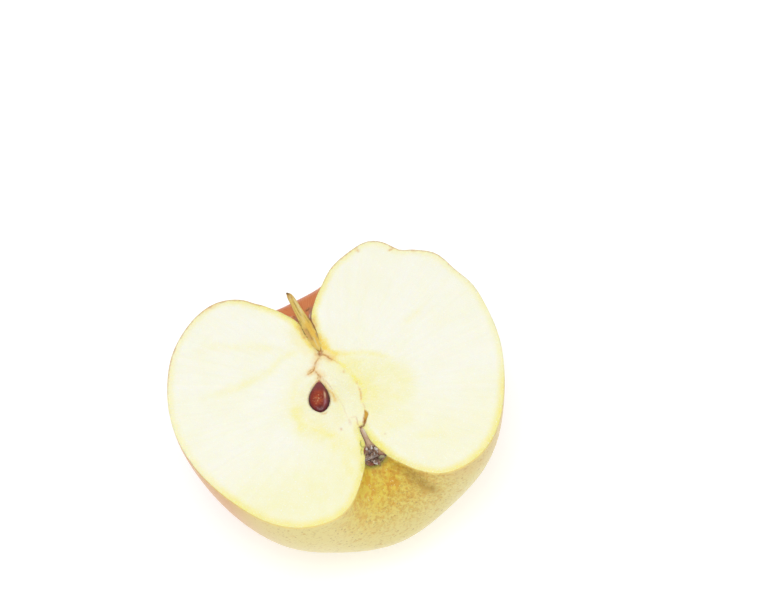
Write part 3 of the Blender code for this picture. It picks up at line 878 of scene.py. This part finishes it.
def camera_axes():
    """Right, up and back of the camera before it is aimed past the apple, and its place in the apple's mm."""
    level = math.cos(VIEW_RISE)
    back = Vector((math.sin(VIEW_TURN) * level, -math.cos(VIEW_TURN) * level, math.sin(VIEW_RISE)))
    turned = back.to_track_quat("Z", "Y").to_matrix() @ Matrix.Rotation(VIEW_ROLL, 3, "Z")
    return turned, Vector((*VIEW_POINT, 0)) + back * VIEW_DISTANCE / MM


def seen_on_cut(points):
    """Where points are seen against the plane of the cut face."""
    eye = np.array(camera_axes()[1])
    share = eye[2] / (eye[2] - points[:, 2])
    return eye[:2] + (points[:, :2] - eye[:2]) * share[:, None]


def sunk(u, v, depth):
    """The point at a depth under the cut face that is seen where (u, v) of the cut face is."""
    eye = camera_axes()[1]
    return Vector((u, v, 0)) + (Vector((u, v, 0)) - eye) * depth / eye.z


class APPLE_OT_half(bpy.types.Operator):
    """Adds the cut half with its skin and flesh"""

    bl_idname = "apple.half"
    bl_label = "Apple half"

    def execute(self, context):
        look = settings()
        bm = bmesh.new()
        out, up, turn = turned_half(bm, smooth_path(OUTLINE, look.outline_steps), look.turn_steps)
        placed = skin_points(out, up, turn)
        low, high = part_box("apple_flesh")
        placed[:, 2] = np.maximum(placed[:, 2], (low[2] - high[2]) / MM)
        skin = {"lobe": lobe_angle(out, up), "turn": turn}
        layers = {name: bm.verts.layers.float.new(name) for name in skin}
        for vertex, point in zip(bm.verts, placed):
            vertex.co = point
        for name, values in skin.items():
            for vertex, value in zip(bm.verts, values):
                vertex[layers[name]] = value
        rim_edges = [edge for edge in bm.edges if edge.is_boundary]
        rim_loop = ordered_loop(rim_edges)
        fill_cut_face(bm, rim_edges, look.flesh_cell / MM, look.core_cuts)
        points = places(bm)
        flat = points[:, :2]
        on_skin, on_flesh = (
            np.array([any(face.material_index == slot for face in vertex.link_faces) for vertex in bm.verts])
            for slot in (SKIN_SLOT, FLESH_SLOT)
        )
        marks, depth = self.flesh_marks(flat, rim_loop, on_flesh)
        depth[on_skin] = 0
        lobe, turn = (np.array([vertex[layer] for vertex in bm.verts]) for layer in layers.values())
        marks.update(self.skin_marks(points, lobe, turn))
        bm.verts.ensure_lookup_table()
        for vertex, down in zip(bm.verts, depth):
            vertex.co.z -= down
        half = add_piece("apple_half", bm, [skin_material(), flesh_material()], marks)
        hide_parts("apple_flesh")
        return {"FINISHED"}

    def flesh_marks(self, flat, rim_loop, on_flesh):
        """Marks of the cut face by name, and how deep it is cut into at each point."""
        across, up = flat.T
        torn = frayed(frayed(flat, 1.6, 0.35), 0.5, 0.12)
        soft = frayed(flat, 5.0, 1.2)
        rim = np.where(on_flesh, loop_distance(flat, rim_loop), 0.0)
        lobe = lobe_angle(np.abs(across), up)
        crack = run_strength(torn, CRACKS)
        dark = run_strength(torn, DARK_CRACKS)
        hole = rise_to(-outside_by(frayed(flat, 0.7, 0.1), np.array(GOLDEN_HOLE)), -0.1, 0.12)
        seed_edge = outside_by(flat, seed_outline())
        hole_edge = outside_by(flat, np.array(GOLDEN_HOLE))
        knot = np.hypot(torn[:, 0] - KNOT[0], torn[:, 1] - KNOT[1])
        low_rim = 0.6 * rise_to(-lobe, 20, 70)
        stem_rim = 0.6 * bell(lobe - 125, 20) * np.where(across < 0, 1.0, 0.7)
        ragged_rim = rim + 0.5 * (torn[:, 0] - across)
        marks = {
            "crack": crack,
            "halo": run_strength(soft * 0.3 + torn * 0.7, CRACKS, widen=4.2),
            "fine_line": run_strength(frayed(flat, 1.2, 0.15), FINE_LINES),
            "tan_line": run_strength(torn, TAN_LINES),
            "yellow": run_strength(soft * 0.4 + torn * 0.6, YELLOW_LINES),
            "stain": run_strength(torn, STAINS),
            "wide_stain": run_strength(torn, WIDE_STAINS),
            "green": run_strength(torn, GREEN_MARKS),
            "hair": run_strength(flat, HAIRS),
            "inner": rise_to(-outside_by(soft, rounded(INNER_ZONE)), -1.6, 3.0)
            * (0.3 + 0.7 * rise_to(across, -5, 4)),
            "seed_cell": rise_to(-outside_by(soft, rounded(SEED_CELL)), -0.7, 0.7),
            "low": rise_to(-up, 6, 24) * (0.55 + 0.45 * rise_to(-across, -8, 8)),
            "rim_yellow": np.clip(0.5 + low_rim + stem_rim, 0, 1) * rise_to(-ragged_rim, -2.4, -0.3),
            "peel": rise_to(lobe, 20, 60) * rise_to(-lobe, -120, -108) * rise_to(-rim, -0.28, -0.02),
            "hole": hole,
            "knot": bell(knot, 0.45),
            "knot_edge": bell(knot - 0.5, 0.18) * rise_to(-across, -0.2, 0.5),
            "dark": np.maximum(dark, hole * rise_to(-up, 10.2, 11.8)),
            "hole_rim": bell(hole_edge - 0.1, 0.12) * rise_to(-across, -2.6, -2.0),
        }
        # The seed's pocket is browned along its edge, most at the tip of the seed
        tip_halo = 0.7 * bell(seed_edge - 0.2, 0.2) * rise_to(up, 2.0, 4.5)
        marks["halo"] = np.maximum(marks["halo"], tip_halo)
        marks["tan_line"] = np.maximum(marks["tan_line"], 0.4 * bell(seed_edge - 0.15, 0.18))
        under_seed = np.clip(-seed_edge, 0, None)
        depth = CRACK_DEPTH * crack + HOLE_DEPTH * np.maximum(dark, hole)
        depth += FINE_LINE_DEPTH * marks["fine_line"]
        depth += POCKET_LIP * (1 - np.clip(seed_edge / 0.5, 0, 1)) ** 2
        depth += POCKET_DEPTH * (1 - np.exp(-under_seed / 0.15))
        depth += FLESH_ROLL * np.array([noise.noise(Vector((x / 4.0, y / 4.0, 0.5))) for x, y in flat])
        return marks, depth

    def skin_marks(self, points, lobe, turn):
        """Marks of the skin by name."""
        out = np.hypot(points[:, 0], points[:, 2])
        seen = seen_on_cut(points)
        torn = frayed(frayed(seen, 1.6, 0.4), 0.5, 0.15)
        soft = 5 * np.array([noise.noise(Vector(p) / 14.0) for p in points])
        in_basin = lobe < -92
        in_hollow = (lobe > 100) & (points[:, 1] > 15)
        basin = rise_to(-lobe + soft, 92, 120)
        back = np.sin(np.radians(turn))
        return {
            "warm": rise_to(turn, 120, 165) * rise_to(lobe + soft, -82, -44) + 0.5 * rise_to(-turn, -24, -4),
            "pale_green": rise_to(-lobe, 60, 90) * rise_to(-turn, -110, -30),
            "basin": basin,
            "basin_net": 0.8 * rise_to(-lobe + soft, 84, 108) * (1 - 0.6 * rise_to(turn, 95, 130)),
            # Russet and painted crease shade down the eye's basin
            "russet_crease_shade": 0.7 * run_strength(torn, RUSSET_AND_CREASE_SHADE) * in_basin * (turn < 100),
            "olive_russet_crease_shade": run_strength(torn, OLIVE_RUSSET_AND_CREASE_SHADE) * in_basin * (turn < 100),
            "blush": rise_to(lobe + 3 * soft, -60, 20) * (0.25 + 0.75 * back),
            "deep_blush": rise_to(lobe + 2 * soft, -25, 45) * back ** 2 * 0.8,
            "pit": rise_to(lobe + soft, 92, 112),
            # Painted light on the bore wall near the cut, lifting the shade of the gap beside the stem
            "bore_wall_painted_light": (lobe > 90) * rise_to(-points[:, 1], -22.0, -20.0),
            "pit_gold": rise_to(lobe, 122, 138) * 0.8,
            "pit_grey": run_strength(torn, HOLLOW_GREY) * in_hollow,
            "pit_dark": run_strength(torn, HOLLOW_DARK) * in_hollow,
            # Painted highlights in the hollow round the stem
            "pit_highlight": run_strength(torn, HOLLOW_HIGHLIGHTS) * in_hollow,
            "speckle": rise_to(-lobe + 2 * soft, 35, 80) * (1 - 0.7 * rise_to(-lobe, 108, 118)),
            "lenticel": rise_to(lobe, -60, -20) * (1 - rise_to(lobe, 112, 130)),
            "eye_ring": bell(np.hypot(out - EYE_RING[0], points[:, 1] - EYE_RING[1]), 0.45) * 0.9,
            "rim_peel": rise_to(points[:, 2], -1.1, 0.0) * rise_to(-lobe, -100, -60),
        }


class APPLE_OT_stem(bpy.types.Operator):
    """Adds the stem, split lengthwise by the knife"""

    bl_idname = "apple.stem"
    bl_label = "Stem"

    def execute(self, context):
        bm = bmesh.new()
        ring = bmesh.ops.create_circle(bm, cap_ends=False, segments=STEM_SIDES, radius=1.0)["verts"]
        edges = list({edge for vertex in ring for edge in vertex.link_edges})
        angles = [math.atan2(vertex.co.y, vertex.co.x) for vertex in ring]
        first = ring
        stations = smooth_path(STEM_STATIONS, 12)
        for number, station in enumerate(stations):
            if number:
                made = bmesh.ops.extrude_edge_only(bm, edges=edges)["geom"]
                edges = [g for g in made if isinstance(g, bmesh.types.BMEdge) and g.is_boundary]
                ring = self.matched(ring, edges)
            for vertex, angle in zip(ring, angles):
                vertex.co = self.stem_point(station, angle)
        for end in (first, ring):
            cap = bmesh.ops.contextual_create(bm, geom=end)["faces"]
            bmesh.ops.poke(bm, faces=cap)
        points = places(bm)
        face = rise_to(points[:, 2], -0.05, 0.05)
        flat = frayed(points[:, :2], 0.6, 0.08)
        groove = run_strength(flat, STEM_GROOVES) * face
        light = run_strength(flat, STEM_LIGHT) * face
        for vertex, cut, ridge in zip(bm.verts, groove, light):
            vertex.co.z += 0.1 * ridge - 0.22 * cut
        bare_side = 0.5 * (1 - face) * rise_to(flat[:, 1] - 2 * (flat[:, 0] > 0), 17.5, 21.0)
        marks = {
            "light": light,
            "groove": groove,
            "gold": run_strength(flat, STEM_GOLD) * face,
            "grey": run_strength(flat, STEM_GREY) * face,
            "tan": run_strength(flat, STEM_TAN) * face,
            "bark": np.maximum(run_strength(flat, STEM_BARK), bare_side),
        }
        stem = add_piece("split_stem", bm, [stem_material()], marks)
        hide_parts("stem")
        return {"FINISHED"}

    def matched(self, before, edges):
        """The new ring's vertices in the order of the ring they grew from."""
        fresh = {vertex for edge in edges for vertex in edge.verts}
        return [next(e.other_vert(v) for e in v.link_edges if e.other_vert(v) in fresh) for v in before]

    def stem_point(self, station, angle):
        """A point round the stem, which is flat and fibrous where it was split and round behind."""
        up, middle, half, depth, proud = station
        across, height = math.cos(angle), math.sin(angle)
        fibre = settings().stem_fibre / MM
        grain = noise.fractal(Vector((across * 5.0, up * 0.12, 3.0 + (height < 0) * 9.0)), 1.0, 2.0, 4)
        z = proud * min(1.0, 2.2 * height) + fibre * grain if height > 0 else depth * height
        reach = half * (1 + 0.05 * grain)
        return Vector((middle + reach * across, up, z))


def stem_material():
    """Split apple wood: dry long fibres, dull ochre and gold, with dark bark left along its sides."""
    look = settings()
    material, tree, place = new_material("split_apple_wood")
    # Fibres are drawn out along the stem, sixteen times as long as they are wide
    drawn = add_node(tree, "VectorMath", {0: place, 1: (1.0, 0.06, 1.0)}, operation="MULTIPLY")
    grains = grown(tree, (
        ("fibre", drawn, 0.17, 4.0, 0.38, 0.62),
        ("band", drawn, 0.7, 2.0, 0.38, 0.62),
        ("patch", place, 1.8, 3.0, 0.4, 0.64),
        ("fray", place, 0.35, 3.0, 0.3, 0.58),
    ))
    tint = painted(tree, look.stem_wood, grains, (
        (None, "band", 0.0, 0.5, "D6AE42"),
        (None, "fibre", 0.0, 0.35, "F0DC96"),
        (None, "patch", 0.0, 0.2, "C88E34"),
        ("gold", "band", 0.5, 0.9, "F2BC34"),
        ("tan", "fray", 0.5, 0.9, "CB9458"),
        ("light", "fibre", 0.6, 1.0, "F3E2A4"),
        ("groove", "even", 0.0, 0.8, "8A6420"),
        ("grey", "fray", 0.5, 0.9, "A08A78"),
        ("bark", "fray", 0.75, 1.0, look.stem_bark),
    ))
    return dressed(material, tint, ((grains["fibre"], 0.06), (grains["fray"], 0.03)), {"Roughness": 0.6})


class APPLE_OT_seed(bpy.types.Operator):
    """Adds the seed in its pocket"""

    bl_idname = "apple.seed"
    bl_label = "Seed"

    def execute(self, context):
        bm = bmesh.new()
        bmesh.ops.create_uvsphere(bm, u_segments=96, v_segments=64, radius=1.0)
        turn = Matrix.Rotation(math.radians(-90), 3, "X")
        along, across = (Vector((*axis, 0)) for axis in seed_axes())
        foot = Vector((*SEED_FOOT, SEED_RISE))
        marks = {"edge": [], "upper": [], "tip": [], "middle": [], "foot": [], "ridge_highlight": [], "pale": []}
        for vertex in bm.verts:
            ball = turn @ vertex.co
            share = 0.5 + 0.5 * ball.y
            ring = math.hypot(ball.x, ball.z)
            plump = float(seed_plump(np.array(share)))
            side, lift = (ball.x / ring, ball.z / ring) if ring > 1e-6 else (0.0, 0.0)
            point = foot + along * share * SEED_LENGTH - across * SEED_BULGE_LEFT * plump
            point += across * side * SEED_WIDTH / 2 * plump
            # A shallow hollow down the middle, and a ridge to the right of it
            hollow = bell(side + 0.1, 0.36) * bell(share - 0.4, 0.22)
            ridge = bell(side - 0.62, 0.12) * bell(share - 0.38, 0.2)
            dimple = noise.fractal(point * 0.5, 1.0, 2.0, 3)
            point.z += lift * SEED_THICKNESS / 2 * plump
            if lift > 0:
                point.z += lift * plump * (0.4 * ridge - 0.5 * hollow + 0.1 * dimple)
            vertex.co = point
            marks["edge"].append(rise_to(max(abs(side + 0.04), 0.95 - 1.2 * share), 0.7, 0.97))
            marks["upper"].append(rise_to(share, 0.55, 0.75))
            marks["tip"].append(rise_to(share, 0.9, 0.98))
            marks["middle"].append(hollow)
            marks["foot"].append(bell(side - 0.05, 0.3) * bell(share - 0.13, 0.06))
            # Painted highlight: a cream streak along the ridge on the right of the seed
            marks["ridge_highlight"].append(bell(side - 0.585, 0.06) * bell(share - 0.46, 0.07))
            # Painted highlight: a soft mauve-white patch low on the right of the seed
            marks["pale"].append(bell(side - 0.6, 0.1) * bell(share - 0.26, 0.06))
        seed = add_piece("apple_seed", bm, [seed_material()], marks)
        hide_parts("seed")
        return {"FINISHED"}


def seed_material():
    """Apple seed coat: hard and smooth as lacquer, red-brown, darker and purplish round its edge."""
    look = settings()
    material, tree, place = new_material("lacquered_seed_coat")
    grains = grown(tree, (
        ("mottle", place, 1.3, 4.0, 0.4, 0.62),
        ("fleck", place, 0.5, 3.0, 0.52, 0.7),
        ("grain", place, 0.3, 2.0, 0.3, 0.7),
    ))
    tint = painted(tree, look.seed_coat, grains, (
        ("middle", "mottle", 0.35, 1.0, "BC5228"),
        ("middle", "fleck", 0.0, 0.8, "D29A6C"),
        ("upper", "mottle", 0.7, 0.95, "7E3C3C"),
        ("edge", "mottle", 0.85, 1.0, look.seed_edge),
        ("foot", "mottle", 0.7, 1.0, "5A0C0E"),
        # Painted highlight low on the seed's right side
        ("pale", "mottle", 0.5, 0.8, "A87884"),
        # Painted highlight along the seed's right ridge
        ("ridge_highlight", "mottle", 0.6, 1.0, "EBC8A0"),
        ("tip", "mottle", 0.7, 1.0, "DE966C"),
    ))
    return dressed(material, tint, ((grains["mottle"], 0.04), (grains["grain"], 0.01)), {
        "Roughness": 0.3, "Specular IOR Level": 0.25, "Coat Weight": 0.1, "Coat Roughness": 0.12,
    })


class APPLE_OT_eye(bpy.types.Operator):
    """Adds the dried flower in the eye: its tube and bowl, stamens and sepals"""

    bl_idname = "apple.eye"
    bl_label = "Dried flower"

    def execute(self, context):
        bm = bmesh.new()
        layers = [bm.verts.layers.float.new(name) for name in ("pale", "rust", "leafy", "marked")]
        self.add_bowl(bm)
        for vertex in bm.verts:
            vertex[layers[3]] = 1.0
        for entry in STAMENS:
            self.add_part(bm, layers, self.add_stamen, entry[:5], (entry[5], 0.0))
        for entry in SEPALS:
            self.add_part(bm, layers, self.add_sepal, entry[:7], entry[7:])
        flat = places(bm)[:, :2]
        across, up = flat.T
        tube = rise_to(up, -19.0, -17.9)
        marks = {
            "tube": tube,
            "tube_top": rise_to(up, -13.4, -12.7),
            "tube_left": tube * bell(across + 0.42, 0.17),
            "tube_right": tube * rise_to(across, 0.5, 0.8),
            # Painted highlight: a cream streak down the upper right of the tube
            "tube_highlight": tube * bell(across - 0.62, 0.2) * rise_to(up, -16.0, -14.2),
            "inner_side": run_strength(flat, INNER_SIDE),
        }
        eye = add_piece("dried_flower", bm, [eye_material()], marks)
        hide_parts("calyx")
        return {"FINISHED"}

    def add_bowl(self, bm):
        """The tube and the bowl it widens into, cut open, with a crusted hollow face."""
        outline = smooth_path(EYE_OUTLINE, 6)
        out, up, turn = turned_half(bm, outline, EYE_TURN_STEPS)
        around = np.radians(turn)
        shift = TUBE_SHIFT * bell(out, 1.5)
        points = np.column_stack([out * np.cos(around) + shift, up, -out * np.sin(around) - 0.08])
        for vertex, point in zip(bm.verts, points):
            vertex.co = point
        fill_cut_face(bm, [edge for edge in bm.edges if edge.is_boundary], EYE_CELL, 0)
        for face in bm.faces:
            face.material_index = SKIN_SLOT
        heights, widths = -np.array(outline)[:, 1], np.array(outline)[:, 0]
        for vertex in bm.verts:
            x, y, z = vertex.co
            if z < -0.05:
                continue
            across = min(abs(x - 0.1) / max(np.interp(-y, heights, widths), 0.1), 1.0)
            wide = min(max((-18.0 - y) / 2.0, 0.0), 1.0)
            crust = noise.fractal(Vector((x * 1.3, y * 0.8, 4.0)), 1.0, 2.0, 5)
            vertex.co.z -= wide * (0.15 + 0.8 * (1 - across ** 2)) - (0.05 + 0.25 * wide) * crust
            vertex.co.z = min(vertex.co.z, 0.1)

    def add_part(self, bm, layers, shape, numbers, look):
        """Adds one stamen or sepal and marks how pale, rusty and leafy it is."""
        shape(bm, *numbers)
        pale, rust = look
        for vertex in bm.verts:
            if not vertex[layers[3]]:
                for layer, value in zip(layers, (pale, max(rust, 0.0), max(-rust, 0.0), 1.0)):
                    vertex[layer] = value

    def add_stamen(self, bm, root_u, root_v, tip_u, tip_v, half):
        """A withered thread with a swollen, woolly head."""
        root, tip = Vector((root_u, root_v, -0.3)), Vector((tip_u, tip_v, 0.0))
        along = tip - root
        level = along.to_track_quat("Z", "Y").to_matrix().to_4x4()
        middle = Matrix.Translation((root + tip) / 2) @ level
        made = bmesh.ops.create_cone(
            bm, cap_ends=True, segments=10, radius1=half * 0.8, radius2=half * 1.1,
            depth=along.length, matrix=middle,
        )
        edges = list({e for vertex in made["verts"] for e in vertex.link_edges})
        bmesh.ops.subdivide_edges(bm, edges=edges, cuts=3, use_grid_fill=True)
        head = Matrix.Translation(tip) @ Matrix.Scale(half * 1.35, 4)
        bmesh.ops.create_icosphere(bm, subdivisions=3, radius=1.0, matrix=head)

    def add_sepal(self, bm, root_u, root_v, tip_u, tip_v, half, root_depth, tip_depth):
        """A thin pointed leaf, curled and crumpled by drying."""
        root, tip = sunk(root_u, root_v, root_depth), sunk(tip_u, tip_v, tip_depth)
        along = tip - root
        across = along.cross(Vector((0, 0, 1))).normalized()
        away = across.cross(along).normalized()
        verts = bmesh.ops.create_grid(bm, x_segments=6, y_segments=12, size=1.0)["verts"]
        for vertex in verts:
            side, way = vertex.co.x, 0.5 + 0.5 * vertex.co.y
            width = half * (1 - way ** 2.5) * (0.85 + 0.3 * math.sin(math.pi * way))
            crumple = noise.fractal(Vector((side + root_u, way * 2 + root_v, 2.0)), 1.0, 2.0, 3)
            rise = half * (0.5 * side * side + 0.6 * math.sin(math.pi * way) + 0.5 * crumple)
            vertex.co = root + along * way + across * (side * width + 0.1 * crumple) + away * rise
        faces = list({face for vertex in verts for face in vertex.link_faces})
        bmesh.ops.solidify(bm, geom=faces, thickness=0.16)


def eye_material():
    """Dried flower: papery and matte, grey-brown with maroon hollows, woolly pale at the tips."""
    look = settings()
    material, tree, place = new_material("dried_apple_flower")
    grains = grown(tree, (
        ("tuft", place, 0.6, 5.0, 0.4, 0.6),
        ("dark", place, 0.9, 5.0, 0.46, 0.56),
        ("wool", place, 0.35, 3.0, 0.56, 0.64),
    ))
    tint = painted(tree, look.eye_grey, grains, (
        (None, "tuft", 0.0, 0.55, "BC9A80"),
        (None, "dark", 0.0, 0.8, look.eye_dark),
        (None, "wool", 0.0, 0.7, "DDD0C6"),
        ("tube", "tuft", 0.85, 1.0, "DAB692"),
        ("tube_right", "even", 0.0, 0.7, "C59A6C"),
        # Painted highlight on the tube's upper right
        ("tube_highlight", "even", 0.0, 0.9, "F3E6D0"),
        ("tube_left", "tuft", 0.8, 1.0, "7C5238"),
        ("tube_top", "tuft", 0.8, 1.0, "96603A"),
        ("inner_side", "tuft", 0.9, 0.7, "EFC79C"),
        ("rust", "tuft", 0.95, 0.75, "9A4C2C"),
        ("leafy", "tuft", 0.95, 0.8, "A3A452"),
        ("pale", "tuft", 0.95, 0.8, look.eye_pale),
    ))
    return dressed(material, tint, ((grains["tuft"], 0.15), (grains["wool"], 0.08)), {"Roughness": 0.6})


def floor_material():
    """Matt white backing card, which shows as a plain pale ground."""
    material, tree, place = new_material("matt_backing_card")
    grains = grown(tree, (("grain", place, 1.1, 2.0, 0.3, 0.7),))
    tint = painted(tree, settings().floor, grains, ((None, "grain", 0.0, 0.15, "DADAD8"),))
    glow = {"Emission Color": (1.0, 1.0, 1.0, 1.0), "Emission Strength": FLOOR_GLOW}
    return dressed(material, tint, (), {"Roughness": 0.8, **glow})


class APPLE_OT_stage(bpy.types.Operator):
    """Adds the floor, the soft lights and the camera"""

    bl_idname = "apple.stage"
    bl_label = "Studio"

    def execute(self, context):
        scene = context.scene
        self.add_floor(scene)
        self.add_lights(scene)
        self.add_camera(scene)
        return {"FINISHED"}

    def add_floor(self, scene):
        bm = bmesh.new()
        bmesh.ops.create_grid(bm, x_segments=4, y_segments=4, size=FLOOR_REACH)
        mesh = bpy.data.meshes.new("floor")
        bm.to_mesh(mesh)
        bm.free()
        mesh.materials.append(floor_material())
        floor = bpy.data.objects.new("floor", mesh)
        scene.collection.objects.link(floor)

    def add_lights(self, scene):
        world = bpy.data.worlds.new("soft_room")
        world.use_nodes = True
        background = world.node_tree.nodes["Background"]
        background.inputs["Color"].default_value = ROOM_TINT
        background.inputs["Strength"].default_value = ROOM_STRENGTH
        scene.world = world
        for name, (place, size, power) in LAMPS.items():
            light = bpy.data.lights.new(name, "AREA")
            light.shape = "DISK"
            light.size = size
            light.energy = power
            lamp = bpy.data.objects.new(name, light)
            lamp.location = place
            aim = Vector(LAMP_AIM) - lamp.location
            lamp.rotation_euler = aim.to_track_quat("-Z", "Y").to_euler()
            scene.collection.objects.link(lamp)
        scene.view_settings.view_transform = "Standard"

    def add_camera(self, scene):
        data = bpy.data.cameras.new("photo_camera")
        data.sensor_width = SENSOR
        data.lens = VIEW_FOCUS / IMAGE_SIZE[0] * SENSOR
        camera = bpy.data.objects.new("photo_camera", data)
        scene.collection.objects.link(camera)
        turned, place = camera_axes()
        camera.location = frame_place() + place * MM
        across = (VIEW_PIXEL[0] - IMAGE_SIZE[0] / 2) / VIEW_FOCUS
        down = (VIEW_PIXEL[1] - IMAGE_SIZE[1] / 2) / VIEW_FOCUS
        aimed = turned @ Matrix.Rotation(across, 3, "Y") @ Matrix.Rotation(down, 3, "X")
        camera.rotation_euler = aimed.to_euler()
        scene.camera = camera


class APPLE_PT_panel(bpy.types.Panel):
    """Lists the pieces of the apple half"""

    bl_label = "Apple Half"
    bl_idname = "APPLE_PT_panel"
    bl_space_type = "VIEW_3D"
    bl_region_type = "UI"
    bl_category = "Apple Half"

    def draw(self, context):
        for operator in OPERATORS:
            self.layout.operator(operator.bl_idname)
        for name in AppleHalfSettings.__annotations__:
            self.layout.prop(context.scene.apple_half, name)


OPERATORS = (APPLE_OT_half, APPLE_OT_stem, APPLE_OT_seed, APPLE_OT_eye, APPLE_OT_stage)
CLASSES = (AppleHalfSettings, *OPERATORS, APPLE_PT_panel)


def register():
    for entry in CLASSES:
        bpy.utils.register_class(entry)
    bpy.types.Scene.apple_half = PointerProperty(type=AppleHalfSettings)


def unregister():
    del bpy.types.Scene.apple_half
    for entry in reversed(CLASSES):
        bpy.utils.unregister_class(entry)


def main():
    register()
    bpy.ops.apple.half()
    bpy.ops.apple.stem()
    bpy.ops.apple.seed()
    bpy.ops.apple.eye()
    bpy.ops.apple.stage()


if __name__ == "__main__":
    main()
